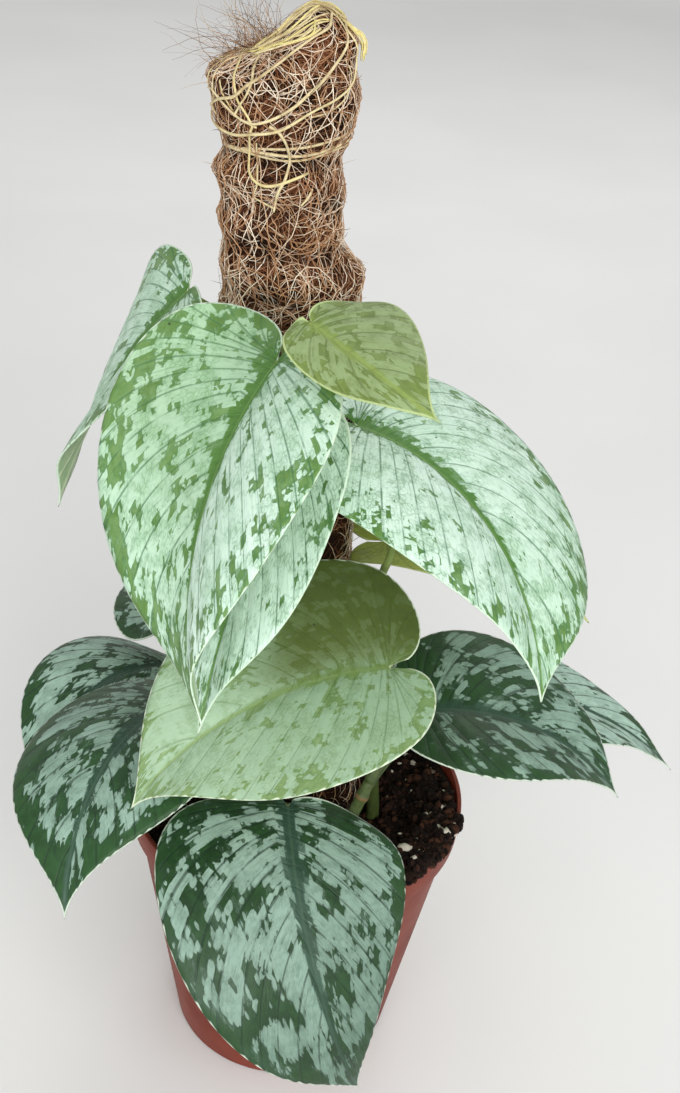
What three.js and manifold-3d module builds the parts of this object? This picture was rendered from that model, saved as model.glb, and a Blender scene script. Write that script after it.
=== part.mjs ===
// Satin pothos (Scindapsus pictus) climbing a coir pole, with its nursery pot.
// Millimetres, +Z up. The origin is the centre of the pot's flat underside, and the plant's
// front, where the largest leaves hang, faces -Y.
import * as THREE from "three";
import { mergeVertices } from "three/addons/utils/BufferGeometryUtils.js";
import Module from "manifold-3d";

const wasm = await Module();
wasm.setup();

// ---- Driving dimensions ----
const GAP = 0.35; // clearance between pieces that touch
const POT = {
  rim: 70,
  height: 125,
  foot: 47,
  wall: 2,
  floor: 3,
  band: 12,
  bandStep: 3,
  drains: 6,
  drainRadius: 4,
  drainCircle: 32,
};
const SOIL = { top: 115, lump: 2.6, spill: 2.6, sides: 36, crumbs: 24 };
const POLE = { top: 441, buried: 92, lean: 5.2, footX: 16.4 };
const STAKE = { radius: 7, foot: 9, top: 424, sides: 16 };
const COIR = { sides: 20, strands: 15, strand: 1.2, lowest: 134, highest: 330, turn: 15.8 };
// The wrap's top, from low to high: how far it leans right, and how much deeper than wide it gets.
const CROWN = { low: 420, high: 434, shift: 12, deep: 0.28 };
const RAFFIA = { thick: 0.8, tie: 396, loops: [[200, 20], [290, 118]] };
const CLIMB = { sunk: 27, reach: 27.4 }; // depth of a stem in the soil, and its way from the pole's axis
const BLADE = { thick: 0.9, rows: 12, columns: 3, ripple: 1 };
const PETIOLE = { root: 1.6, tip: 1.1 };

// Outline of the coir wrap: [height, radius to the left, radius to the right]. It is drawn in
// below a loose shoulder at the right, and waisted where the raffia ties it.
const COIR_OUTLINE = [
  [92, 20.5, 20.5],
  [122, 20.9, 20.9],
  [135, 21.5, 21.5],
  [165, 20.4, 20.4],
  [205, 21.8, 21.4],
  [245, 20.4, 19.4],
  [290, 21.8, 21.4],
  [330, 22, 21.6],
  [346, 22.5, 22.9],
  [357, 23.2, 23.2],
  [362, 23.1, 19.6],
  [366, 22.7, 16.6],
  [373, 23, 16.4],
  [381, 21.2, 18],
  [389, 22.6, 17.4],
  [397, 19.6, 17.8],
  [404, 20.5, 20.4],
  [411, 22.6, 23.6],
  [418, 23.2, 23.1],
  [423, 22.3, 21.2],
  [426, 18.6, 18.2],
  [428, 15.6, 15.6],
  [430.5, 14, 13],
  [433, 12.4, 10.8],
  [435.5, 10, 9],
  [438, 7.2, 7],
  [440, 4.6, 4.6],
  [441, 2.6, 2.6],
];

// Stems. A climbing stem keeps to the pole at the given bearings, foot to top; a free one
// follows its own points. Bearings: 0 is +X, 90 the back (+Y), 270 the front.
const STEMS = {
  stem_front: { bearing: [266, 256], top: 328, radius: [3, 2.1], colour: 0x5d6b3a },
  stem_right: { bearing: [352, 346], top: 238, radius: [3, 2.1], colour: 0x5f6f3c },
  stem_back: { bearing: [88, 152], top: 357, radius: [3.2, 1.9], colour: 0x5d6b3a },
  stem_left_low: {
    points: [
      [-21, -17, 88],
      [-21, -17, 118],
      [-26, -15, 138],
      [-34, -7, 154],
      [-37, -2, 162],
    ],
    radius: [2.8, 2],
    colour: 0x47592f,
  },
  stem_right_low: {
    points: [
      [17, -41, 88],
      [17, -41, 118],
      [22, -42, 144],
      [28, -40, 163],
      [34, -35, 182],
      [36, -31, 198],
    ],
    radius: [2.8, 2],
    colour: 0x4c5f33,
  },
};

// Leaves. at: where the petiole meets the blade. heading, pitch, roll: how the midrib leaves it.
// long and half: length, and the two half widths, left and right of the midrib from above.
// droop, sweep, twist: how far the midrib turns down, sideways and about itself by its tip.
// fold and curl: how each half rises from the midrib and then rolls down, left and right.
// stem, node: the stem it grows on, and the height there. via: points its petiole passes.
const PALE = 0x9fc39b;
const OLIVE = 0x8f9f55;
const CREAM = 0xa9bd7c;
const DEEP = 0x55745a;
const HABIT = {
  lobe: 10,
  wide: 0.21,
  full: 0.53,
  taper: 0.07,
  sweep: 0,
  twist: 0,
  fold: [9, 9],
  curl: [18, 18],
  via: [],
};
const LEAVES = {
  leaf_front_large: {
    at: [-15, -60, 349], heading: -136, pitch: -44, roll: -21, long: 125, half: [46, 47], lobe: 9,
    droop: 53, sweep: -6, twist: -20, fold: [9, 24], curl: [49, -32], wide: 0.24, full: 0.56,
    colour: PALE, stem: "stem_front", node: 325, via: [[-18, -35, 347]],
  },
  leaf_front_second: {
    at: [-10, -50, 331], heading: -115, pitch: -57, roll: -22, long: 118, half: [38, 38], lobe: 4,
    droop: 15, sweep: 9, twist: -2, fold: [10, 10], curl: [13, 13],
    colour: PALE, stem: "stem_front", node: 290, via: [[-12, -36, 311]],
  },
  leaf_top_young: {
    at: [-5, -79, 371], heading: -51, pitch: -5, roll: -24, long: 55, half: [24, 13], lobe: 4,
    droop: 18, sweep: -9, twist: -12, fold: [-5, -5],
    colour: OLIVE, stem: "stem_front", node: 327, via: [[8, -50, 345], [10, -70, 356]],
  },
  leaf_right_large: {
    at: [11, -37, 317], heading: -22, pitch: -4, roll: 17, long: 118, half: [48, 44],
    droop: 65, sweep: 31, twist: 25, fold: [40, 2], curl: [38, 59], full: 0.76, taper: 0.17,
    colour: PALE, stem: "stem_right", node: 206,
    via: [[21, -24, 228], [24, -31, 250], [28, -33, 268], [24, -37, 290]],
  },
  leaf_centre: {
    at: [30, -68, 241], heading: -168, pitch: -3, roll: 20, long: 113, half: [42, 45], lobe: 11,
    droop: 60, sweep: -23, twist: 16, fold: [17, 17], curl: [20, 19], full: 0.49,
    colour: CREAM, stem: "stem_right_low", node: 192, via: [[38, -46, 215]],
  },
  leaf_left_back: {
    at: [-53, 33, 156], heading: -147, pitch: 33, roll: -16, long: 98, half: [34, 38],
    droop: 111, sweep: 4, twist: 35, fold: [6, 6], curl: [17, 17],
    colour: DEEP, stem: "stem_left_low", node: 136, via: [],
  },
  leaf_left_front: {
    at: [-51, -22, 181], heading: -126, pitch: 8, roll: -26, long: 101, half: [41, 42], lobe: 14,
    droop: 70, sweep: -9, twist: 11, fold: [-4, 17], curl: [31, 22], wide: 0.23, full: 0.56,
    colour: DEEP, stem: "stem_left_low", node: 148, via: [],
  },
  leaf_over_rim: {
    at: [-2, -48, 157], heading: -84, pitch: 0, roll: -19, long: 134, half: [44, 52], lobe: 4,
    droop: 116, sweep: 2, twist: 10, fold: [-23, 24], curl: [17, 4], wide: 0.23,
    colour: DEEP, stem: "stem_right_low", node: 126, via: [],
  },
  leaf_right_low: {
    at: [46, -20, 186], heading: 6, pitch: 8, roll: -8, long: 97, half: [40, 36], lobe: 8,
    droop: 61, sweep: 22, twist: 2, fold: [17, 16], curl: [20, 21], full: 0.5,
    colour: DEEP, stem: "stem_right_low", node: 160, via: [],
  },
  leaf_right_far: {
    at: [69, 24, 166], heading: 3, pitch: 4, roll: 3, long: 102, half: [32, 32],
    droop: 50, sweep: 3, twist: 1, fold: [10, 10], curl: [13, 13],
    colour: DEEP, stem: "stem_right_low", node: 146, via: [[44, -4, 158]],
  },
  leaf_left_high: {
    at: [-51, 0, 344], heading: -170, pitch: -47, roll: 11, long: 98, half: [36, 41], lobe: 5,
    droop: 28, sweep: -9, twist: -41, fold: [10, 10], curl: [17, 17],
    colour: PALE, stem: "stem_back", node: 322, via: [],
  },
  leaf_left_small: {
    at: [-59, 34, 183], heading: 92, pitch: 9, roll: 18, long: 88, half: [28, 32], lobe: 11,
    droop: 43, sweep: 3, twist: 6, fold: [7, 7], curl: [19, 19],
    colour: DEEP, stem: "stem_left_low", node: 159, via: [[-37, 2, 174], [-48, 18, 180]],
  },
  leaf_right_inner: {
    at: [27, 3.5, 247.5], heading: 4, pitch: 9, roll: 1, long: 91, half: [33, 33], lobe: 12,
    droop: 57, sweep: 9, twist: -14, fold: [12, 12], curl: [-1, -1],
    colour: CREAM, stem: "stem_right", node: 224, via: [],
  },
  leaf_back_high: {
    at: [-30, 37, 274], heading: 110, pitch: 9, roll: -4, long: 111, half: [39, 38],
    droop: 42, sweep: 6, twist: -5, colour: PALE, stem: "stem_back", node: 248, via: [],
  },
  leaf_back_right: {
    at: [16, 34, 283], heading: 62, pitch: -9, roll: -11, long: 108, half: [38, 38],
    droop: 37, sweep: 8, twist: 6, colour: PALE, stem: "stem_back", node: 262, via: [],
  },
  leaf_back_centre: {
    at: [-9, 42, 243], heading: 94, pitch: -4, roll: 5, long: 115, half: [40, 42],
    droop: 29, sweep: 1, twist: -2, colour: DEEP, stem: "stem_back", node: 214, via: [],
  },
  leaf_back_low: {
    at: [19, 40, 161], heading: 73, pitch: -18, roll: -8, long: 106, half: [37, 37],
    droop: 29, sweep: -5, twist: 6, colour: DEEP, stem: "stem_back", node: 138, via: [],
  },
  leaf_back_left: {
    at: [-22, 47, 179], heading: 112, pitch: -8, roll: 11, long: 104, half: [37, 38],
    droop: 41, sweep: -6, twist: 9, colour: DEEP, stem: "stem_back", node: 152, via: [],
  },
};

// ---- Small helpers ----
const rad = THREE.MathUtils.degToRad;
const TURN = 2 * Math.PI;
const vec = (x, y, z) => new THREE.Vector3(x, y, z);
const span = (n) => Array.from({ length: n }, (_, i) => i);
const mix = (a, b, t) => a + (b - a) * t;
const plus = (p, ...pairs) => pairs.reduce((sum, [v, k]) => sum.addScaledVector(v, k), p.clone());

function makeGeometry(points, faces) {
  return new THREE.BufferGeometry().setFromPoints(points).setIndex(faces.flat());
}

function toSolid(geometry) {
  const bare = geometry.clone();
  bare.deleteAttribute("normal");
  bare.deleteAttribute("uv");
  const merged = mergeVertices(bare, 1e-4);
  return new wasm.Manifold(
    new wasm.Mesh({
      numProp: 3,
      vertProperties: merged.attributes.position.array,
      triVerts: new Uint32Array(merged.index.array),
    }),
  );
}

function toGeometry(body) {
  const { vertProperties, triVerts } = body.getMesh();
  return new THREE.BufferGeometry()
    .setAttribute("position", new THREE.BufferAttribute(vertProperties, 3))
    .setIndex(new THREE.BufferAttribute(triVerts, 1));
}

const joined = (geometries) => geometries.map(toSolid).reduce((sum, body) => sum.add(body));

// A closed body through rings of points, each ring counterclockwise seen from the far end.
function loft(rings) {
  const count = rings[0].length;
  const points = rings.flat();
  const faces = [];
  for (const i of span(rings.length - 1)) {
    for (const j of span(count)) {
      const k = (j + 1) % count;
      const near = i * count;
      const far = near + count;
      faces.push([near + j, near + k, far + k], [near + j, far + k, far + j]);
    }
  }
  const middle = (ring) => ring.reduce((sum, p) => sum.add(p), vec(0, 0, 0)).divideScalar(count);
  points.push(middle(rings[0]), middle(rings.at(-1)));
  const last = (rings.length - 1) * count;
  const [start, end] = [points.length - 2, points.length - 1];
  for (const j of span(count)) {
    const k = (j + 1) % count;
    faces.push([start, k, j], [end, last + j, last + k]);
  }
  return makeGeometry(points, faces);
}

// A closed tube of the given number of sides, whose radius may change along it.
function tube(curve, steps, sides, radiusAt) {
  const { normals, binormals } = curve.computeFrenetFrames(steps, false);
  const rings = span(steps + 1).map((i) => {
    const centre = curve.getPointAt(i / steps);
    const radius = radiusAt(i / steps);
    return span(sides).map((j) => {
      const a = (TURN * j) / sides;
      return plus(centre, [normals[i], radius * Math.cos(a)], [binormals[i], radius * Math.sin(a)]);
    });
  });
  return loft(rings);
}

// ---- Pole ----
const poleX = (z) => POLE.footX - Math.tan(rad(POLE.lean)) * z;
const fromPole = (z, bearing, reach) =>
  vec(poleX(z) + reach * Math.cos(bearing), reach * Math.sin(bearing), z);

// How far the wrap has closed towards its crown, 0 to 1.
const closing = (z) => THREE.MathUtils.smoothstep(z, CROWN.low, CROWN.high);
const fromCoir = (z, bearing, reach) =>
  fromPole(z, bearing, reach).add(vec(CROWN.shift * closing(z), 0, 0));

function outlineRadius(z, bearing) {
  const k = Math.max(1, COIR_OUTLINE.findIndex(([height]) => height >= z));
  const [z0, left0, right0] = COIR_OUTLINE[k - 1];
  const [z1, left1, right1] = COIR_OUTLINE[k];
  const t = Math.max(0, (z - z0) / (z1 - z0));
  const [left, right] = [mix(left0, left1, t), mix(right0, right1, t)];
  const depth = 1 + CROWN.deep * closing(z) * Math.sin(bearing) ** 2;
  return depth * mix(left, right, 0.5 + 0.5 * Math.cos(bearing));
}

// The wrap's slanted turns and loose lumps, as relief on the outline. They fade out where the
// wrap enters the soil and towards the crown.
function coirRadius(z, bearing) {
  const { smoothstep } = THREE.MathUtils;
  const fade = smoothstep(POLE.top - z, 0, 12) * smoothstep(z, 120, 132);
  const slant = 0.6 * Math.cos(bearing) + 1.6 * Math.sin(bearing);
  const turns = Math.cos((TURN * (z - 388)) / COIR.turn + slant) * smoothstep(z, 250, 340);
  const lay = 0.5 * Math.sin(3 * bearing + z / 8) + 0.4 * Math.sin(4 * bearing - z / 9 + 1);
  const lumps = 0.5 * Math.sin(2 * bearing + z / 23) + 0.4 * Math.sin(5 * bearing + z / 31 + 2);
  return outlineRadius(z, bearing) + fade * (0.7 * turns + lay + lumps);
}

const ring = (sides, place) => span(sides).map((j) => place((TURN * j) / sides));

// A round rod along the pole's axis.
const poleRod = (low, high, sides, radius) =>
  loft([low, high].map((z) => ring(sides, (a) => fromPole(z, a, radius))));

// Loose strands that arch over the wrap and dive back into it at both ends.
function coirStrand(z, bearing, rise, turn) {
  const points = span(6).map((i) => {
    const t = i / 5;
    const height = z + rise * t;
    const angle = bearing + turn * t;
    const lift = t === 0 || t === 1 ? -2 : 0.9;
    return fromPole(height, angle, coirRadius(height, angle) + lift);
  });
  return tube(new THREE.CatmullRomCurve3(points), 6, 3, () => COIR.strand);
}

function makeCoirPole() {
  THREE.MathUtils.seededRandom(11);
  const random = THREE.MathUtils.seededRandom;
  const strands = span(COIR.strands).map((i) => {
    const z = mix(COIR.lowest, COIR.highest, (i + 0.5 * random()) / COIR.strands);
    const side = i % 2 ? 1 : -1;
    return coirStrand(z, i * 2.4 + random(), 12 + 14 * random(), side * (0.9 + 0.7 * random()));
  });
  const plain = span(19).map((i) => mix(POLE.buried, COIR.highest, i / 19));
  const lumpy = span(22).map((i) => mix(COIR.highest, CROWN.low, i / 22));
  const crown = span(9).map((i) => mix(CROWN.low, POLE.top, i / 8));
  const rings = [...plain, ...lumpy, ...crown].map((z) =>
    ring(COIR.sides, (a) => fromCoir(z, a, coirRadius(z, a))),
  );
  const bore = poleRod(POLE.buried - 1, STAKE.top + 1, STAKE.sides, STAKE.radius + GAP);
  return toGeometry(joined([loft(rings), ...strands]).subtract(toSolid(bore)));
}

const makeStake = () => poleRod(STAKE.foot, STAKE.top, STAKE.sides, STAKE.radius);

// Raffia: a tie round the pole's waist and two loops over its head, crossing at the tie.
function makeRaffia() {
  const { thick, tie } = RAFFIA;
  const lay = GAP + thick + 1.9;
  const on = (z, bearing) => fromCoir(z, bearing, coirRadius(z, bearing) + lay);
  const round = span(25).map((i) => (TURN * (i % 24)) / 24);
  const band = round.map((a) => on(tie + 1.5 * Math.sin(a), a));
  const loops = RAFFIA.loops.map(([from, to], i) => {
    const heights = [-4, 5, 14, 22, 27, 31, 38].map((rise) => tie + rise);
    const up = heights.map((z) => on(z, rad(from)));
    const down = heights.reverse().map((z) => on(z, rad(to)));
    const crown = fromCoir(POLE.top + lay + 1.2 - 0.6 * i, 0, 0);
    return tube(new THREE.CatmullRomCurve3([...up, crown, ...down]), 26, 4, () => thick);
  });
  return toGeometry(joined([tube(new THREE.CatmullRomCurve3(band), 28, 4, () => thick), ...loops]));
}

// ---- Pot ----
function makePot() {
  const { rim, height, foot, wall, floor, band, bandStep } = POT;
  const shoulder = height - band;
  const neck = rim - bandStep;
  const profile = [
    [0, 0],
    [foot, 0],
    [foot + 1, 1.2],
    [neck - 0.6, shoulder - 1.5],
    [rim - 1, shoulder],
    [rim, height - 1.5],
    [rim - 0.6, height],
    [rim - wall, height],
    [rim - wall - 0.8, shoulder + 1],
    [neck - wall - 0.6, shoulder - 3],
    [foot - wall + 1.2, floor],
    [0, floor],
  ].map(([r, z]) => new THREE.Vector2(r, z));
  const shell = new THREE.LatheGeometry(profile, 40).rotateX(Math.PI / 2);
  const drains = span(POT.drains).map((i) => {
    const a = (TURN * (i + 0.5)) / POT.drains;
    return new THREE.CylinderGeometry(POT.drainRadius, POT.drainRadius, 4 * floor, 12)
      .rotateX(Math.PI / 2)
      .translate(POT.drainCircle * Math.cos(a), POT.drainCircle * Math.sin(a), 0);
  });
  return toGeometry(toSolid(shell).subtract(joined(drains)));
}

// ---- Stems and petioles ----
function stemCurve({ bearing, top, points }) {
  if (points) return new THREE.CatmullRomCurve3(points.map((p) => vec(...p)));
  const free = SOIL.top + 3;
  const heights = [SOIL.top - CLIMB.sunk, free, ...span(9).map((i) => mix(free, top, (i + 1) / 9))];
  const route = heights.map((z) => {
    const t = Math.max(0, (z - free) / (top - free));
    return fromPole(z, rad(mix(bearing[0], bearing[1], t ** 1.4)), CLIMB.reach);
  });
  route[0].x = route[1].x;
  return new THREE.CatmullRomCurve3(route);
}

const stemTube = (stem) =>
  tube(stemCurve(stem), stem.points ? 10 : 18, 6, (t) => mix(...stem.radius, t));

function curveAtHeight(curve, z) {
  const samples = curve.getSpacedPoints(240);
  return samples.reduce((best, p) => (Math.abs(p.z - z) < Math.abs(best.z - z) ? p : best));
}

// ---- Leaf blades ----
// Half outline, flat: q runs 0 to 1 round the basal lobe to the widest place, 1 to 2 on to the tip.
function margin(q, leaf, width) {
  const { long, lobe, wide, full, taper } = leaf;
  const widest = [width, wide * long];
  const basal = [[0, 0], [0.02 * width, -2 * lobe], [width, -1.55 * lobe], widest];
  const shoulder = [width, (wide + full * (1 - wide)) * long];
  const apical = [widest, shoulder, [taper * width, 0.8 * long], [0, long]];
  const [points, t] = q < 1 ? [basal, q] : [apical, q - 1];
  const [a, b, c, d] = points.map(([x, y]) => vec(x, y, 0));
  return new THREE.CubicBezierCurve3(a, b, c, d).getPoint(t);
}

const SINUS = 0.12; // where the outline starts, beside the petiole's notch
const BASAL = 0.72; // the outline up to here is fed by veins from the blade's base

function veinStart(q, long) {
  return long * Math.max(0, (q - BASAL) / (2 - BASAL)) ** 1.6;
}

// A point of the flat blade on the vein that ends at outline place q, t of the way along it.
function onVein(q, t, leaf, width) {
  const end = margin(q, leaf, width);
  const start = veinStart(q, leaf.long);
  const bend = vec(0.6 * end.x, start + 0.3 * (end.y - start), 0);
  return new THREE.QuadraticBezierCurve3(vec(0, start, 0), bend, end).getPoint(t);
}

// The midrib's frame at the fraction u of the blade's length: along, to the right, and up.
function midribFrame(leaf, u) {
  const [heading, pitch, roll] = [leaf.heading, leaf.pitch, leaf.roll].map(rad);
  const along = vec(
    Math.cos(pitch) * Math.cos(heading),
    Math.cos(pitch) * Math.sin(heading),
    Math.sin(pitch),
  );
  const right = vec(Math.sin(heading), -Math.cos(heading), 0);
  const up = right.clone().cross(along);
  right.applyAxisAngle(along, -roll);
  up.applyAxisAngle(along, -roll);
  const turn = (axis, angle, ...vectors) => vectors.forEach((v) => v.applyAxisAngle(axis, angle));
  turn(up.clone(), -rad(leaf.sweep) * u, along, right);
  turn(right.clone(), -rad(leaf.droop) * u, along, up);
  turn(along.clone(), -rad(leaf.twist) * u, right, up);
  return { along, right, up };
}

function onMidrib(leaf, y) {
  const u = Math.max(0, y / leaf.long);
  const steps = 16;
  const place = vec(...leaf.at);
  for (const i of span(steps)) {
    place.addScaledVector(midribFrame(leaf, (u * (i + 0.5)) / steps).along, (u * leaf.long) / steps);
  }
  return place.addScaledVector(midribFrame(leaf, 0).along, Math.min(0, y));
}

// Where a flat blade point lies once the blade is bent, and which way its upper face looks.
function bent(leaf, side, { x, y }, q, t) {
  const u = Math.max(0, y / leaf.long);
  const { right, up } = midribFrame(leaf, u);
  const k = side > 0 ? 1 : 0;
  const ratio = x / ((leaf.half[0] + leaf.half[1]) / 2);
  const rise = rad(leaf.fold[k] - 0.5 * leaf.curl[k] * ratio);
  const slope = rad(leaf.fold[k] - leaf.curl[k] * ratio);
  const place = plus(onMidrib(leaf, y), [right, side * x * Math.cos(rise)], [up, x * Math.sin(rise)]);
  const lean = x < 1e-6 ? 0 : slope;
  const face = plus(vec(0, 0, 0), [up, Math.cos(lean)], [right, -side * Math.sin(lean)]);
  const wave = BLADE.ripple * t ** 3 * Math.sin(9 * q + side) * Math.min(1, 3 * (2 - q));
  return { place: plus(place, [face, wave]), face };
}

function makeBlade(leaf) {
  const { rows, columns, thick } = BLADE;
  const ids = new Map();
  const sheet = [];
  // Points on the midrib, and the tip, belong to both halves.
  const vertex = (side, i, j) => {
    const q = mix(SINUS, 2, i / rows);
    const shared = j === 0 || i === rows;
    const name = shared ? veinStart(q, leaf.long).toFixed(3) : `${side} ${i} ${j}`;
    if (!ids.has(name)) {
      const t = shared ? 0 : j / columns;
      ids.set(name, sheet.length);
      sheet.push(bent(leaf, side, onVein(q, t, leaf, leaf.half[side > 0 ? 1 : 0]), q, t));
    }
    return ids.get(name);
  };
  const upper = [];
  for (const side of [-1, 1]) {
    for (const i of span(rows)) {
      for (const j of span(columns)) {
        const [a, b] = [vertex(side, i, j), vertex(side, i, j + 1)];
        const [c, d] = [vertex(side, i + 1, j + 1), vertex(side, i + 1, j)];
        const pair = side > 0 ? [[a, b, c], [a, c, d]] : [[a, c, b], [a, d, c]];
        upper.push(...pair.filter((face) => new Set(face).size === 3));
      }
    }
  }
  // The upper face, the same face below it, and a wall along the open edge.
  const under = sheet.length;
  const offset = ({ place, face }, k) => plus(place, [face, k * thick * 0.5]);
  const points = [...sheet.map((v) => offset(v, 1)), ...sheet.map((v) => offset(v, -1))];
  const edges = upper.flatMap(([a, b, c]) => [[a, b], [b, c], [c, a]]);
  const directed = new Set(edges.map(([a, b]) => `${a},${b}`));
  const open = edges.filter(([a, b]) => !directed.has(`${b},${a}`));
  const lower = upper.map(([a, b, c]) => [under + a, under + c, under + b]);
  const wall = open.flatMap(([a, b]) => [[b, a, under + a], [b, under + a, under + b]]);
  return makeGeometry(points, [...upper, ...lower, ...wall]);
}

// A petiole leaves its stem outwards and upwards, and meets the blade from below.
function makePetiole(leaf, curve) {
  const root = curveAtHeight(curve, leaf.node);
  const { right, up } = midribFrame(leaf, 0);
  const tilt = rad((leaf.fold[1] - leaf.fold[0]) / 2);
  const face = plus(vec(0, 0, 0), [up, Math.cos(tilt)], [right, -Math.sin(tilt)]);
  const end = plus(vec(...leaf.at), [face, -(BLADE.thick / 2 + GAP)]);
  const near = plus(end, [face, -5]);
  const outwards = near.clone().sub(root).setZ(0).normalize();
  const rise = plus(root, [outwards, 4], [vec(0, 0, 1), 6]);
  const route = [root, rise, ...leaf.via.map((p) => vec(...p)), near, end];
  const path = new THREE.CatmullRomCurve3(route, false, "centripetal");
  return tube(path, 3 + 2 * route.length, 5, (t) => mix(PETIOLE.root, PETIOLE.tip, t));
}

function makeStem(name) {
  const stem = STEMS[name];
  const curve = stemCurve(stem);
  const leaves = Object.values(LEAVES).filter((leaf) => leaf.stem === name);
  const petioles = leaves.map((leaf) => makePetiole({ ...HABIT, ...leaf }, curve));
  return toGeometry(joined([stemTube(stem), ...petioles]));
}

// ---- Soil ----
// Height of the soil's surface: a low mound with lumps, heaped over the rim at the front right.
function soilHeight(x, y) {
  const lumps =
    Math.sin(x / 5.1 + 1.3 * Math.sin(y / 6.3)) * Math.cos(y / 4.7) +
    0.7 * Math.sin(x / 2.9 + y / 3.7) * Math.sin(y / 3.1 - x / 8);
  return SOIL.top + SOIL.lump * 0.6 * lumps;
}

const heap = (bearing) => Math.max(0, Math.cos(bearing - rad(-32))) ** 2;

function makeSoil() {
  const { sides } = SOIL;
  const inner = POT.rim - POT.wall - 0.8 - GAP;
  const fits = [
    [POT.foot - POT.wall - 0.6, POT.floor + GAP],
    [POT.rim - POT.bandStep - POT.wall - 1.4, POT.height - POT.band - 3.5],
    [inner - 0.4, POT.height - POT.band + 1],
  ];
  const at = (a, r, z) => vec(r * Math.cos(a), r * Math.sin(a), z);
  const overRim = POT.height + GAP + 0.1;
  const climb = (a) => Math.min(1, heap(a) / 0.85);
  const crest = (a) => overRim + SOIL.spill * heap(a);
  const rise = (a, r) => {
    const level = soilHeight(r * Math.cos(a), r * Math.sin(a));
    const heaped = crest(a) + 0.4 * (level - SOIL.top);
    return mix(level, heaped, heap(a) * THREE.MathUtils.smoothstep(r, 30, 62));
  };
  const ragged = (a) => 2.4 + 0.9 * Math.sin(11 * a) + 0.6 * Math.sin(23 * a + 1);
  const lip = (a) => inner + ragged(a) * THREE.MathUtils.smoothstep(heap(a), 0.86, 0.96);
  const rings = [
    ...fits.map(([r, z]) => ring(sides, (a) => at(a, r, z))),
    ring(sides, (a) => at(a, inner, mix(116, overRim - 0.1, climb(a)))),
    ring(sides, (a) => at(a, lip(a), mix(116.3, overRim, climb(a)))),
    ring(sides, (a) => at(a, lip(a) - 0.8, mix(117, crest(a) - 0.4, climb(a)))),
    ...[62, 56, 49, 42, 35, 28, 19, 8].map((r) => ring(sides, (a) => at(a, r, rise(a, r)))),
  ];
  const crumbs = span(SOIL.crumbs).map((i) => {
    const random = THREE.MathUtils.seededRandom;
    const a = i * 2.39996;
    const r = 30 + 31 * Math.sqrt((i + 0.5) / SOIL.crumbs);
    const size = 1.8 + 1.8 * random();
    return new THREE.IcosahedronGeometry(size, 0)
      .rotateX(TURN * random())
      .rotateY(TURN * random())
      .translate(r * Math.cos(a), r * Math.sin(a), rise(a, r) + 0.2 * size);
  });
  const open = SOIL.top + 24;
  const stakeHole = poleRod(STAKE.foot - 0.5, open, STAKE.sides, STAKE.radius + GAP);
  const poleHole = poleRod(POLE.buried - 0.5, open, COIR.sides, COIR_OUTLINE[1][1] + GAP);
  const stemHoles = Object.values(STEMS).map((stem) => {
    const foot = stemCurve(stem).getPoint(0);
    const hole = (z) => ring(8, (a) => at(a, stem.radius[0] + GAP + 0.4, z));
    return loft([hole(foot.z - GAP), hole(open)]).translate(foot.x, foot.y, 0);
  });
  return toGeometry(
    joined([loft(rings), ...crumbs]).subtract(joined([stakeHole, poleHole, ...stemHoles])),
  );
}

// ---- The plant ----
const plant = new THREE.Group();

function addPiece(name, geometry, color, roughness) {
  const material = new THREE.MeshStandardMaterial({ color, roughness, metalness: 0 });
  const mesh = new THREE.Mesh(geometry, material);
  mesh.name = name;
  plant.add(mesh);
}

addPiece("pot", makePot(), 0x9a4a33, 0.6);
addPiece("soil", makeSoil(), 0x1f130f, 1);
addPiece("wooden_stake", makeStake(), 0xb08a5b, 0.8);
addPiece("coir_pole", makeCoirPole(), 0x8a5a3c, 1);
addPiece("raffia_tie", makeRaffia(), 0xcdbf83, 0.8);
for (const name of Object.keys(STEMS)) {
  addPiece(name, makeStem(name), STEMS[name].colour, 0.6);
}
for (const [name, leaf] of Object.entries(LEAVES)) {
  addPiece(name, makeBlade({ ...HABIT, ...leaf }), leaf.colour, 0.45);
}

export default plant;
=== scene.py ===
import math

import bpy
import numpy as np
from mathutils import Matrix, Vector


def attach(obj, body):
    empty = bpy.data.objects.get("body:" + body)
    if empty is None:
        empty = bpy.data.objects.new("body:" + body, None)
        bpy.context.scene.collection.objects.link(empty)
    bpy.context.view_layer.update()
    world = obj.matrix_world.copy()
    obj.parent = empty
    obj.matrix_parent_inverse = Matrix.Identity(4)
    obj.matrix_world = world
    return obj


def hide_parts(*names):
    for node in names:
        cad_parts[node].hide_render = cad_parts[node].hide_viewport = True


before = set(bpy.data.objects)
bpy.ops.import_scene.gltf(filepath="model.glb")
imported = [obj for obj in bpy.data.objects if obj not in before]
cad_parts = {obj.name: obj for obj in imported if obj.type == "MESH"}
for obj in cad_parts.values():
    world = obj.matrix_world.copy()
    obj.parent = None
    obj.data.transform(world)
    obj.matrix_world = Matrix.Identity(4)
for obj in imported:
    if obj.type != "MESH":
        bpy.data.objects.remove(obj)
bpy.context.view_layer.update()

# All lengths are in millimetres until a mesh is made.
MM = 0.001
TURN = 2 * math.pi
DOME = 418.0  # height at which the pole's head starts to close
CROWN = 441  # height of the pole's top
NEAR_POLE = 22  # about the wrap's radius
ROOM = 463  # nothing rises over this height

# ---------------------------------------------------------------- small helpers


def smooth(low, high, x):
    t = np.clip((np.asarray(x, float) - low) / (high - low), 0, 1)
    return t * t * (3 - 2 * t)


def mix(a, b, t):
    return a + (b - a) * t


def unit(v):
    return v / np.maximum(np.linalg.norm(v, axis=-1, keepdims=True), 1e-9)


def polar(r, a, z):
    """Points at a distance and an angle round the z axis."""
    return np.stack(np.broadcast_arrays(r * np.cos(a), r * np.sin(a), z), -1)


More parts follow.
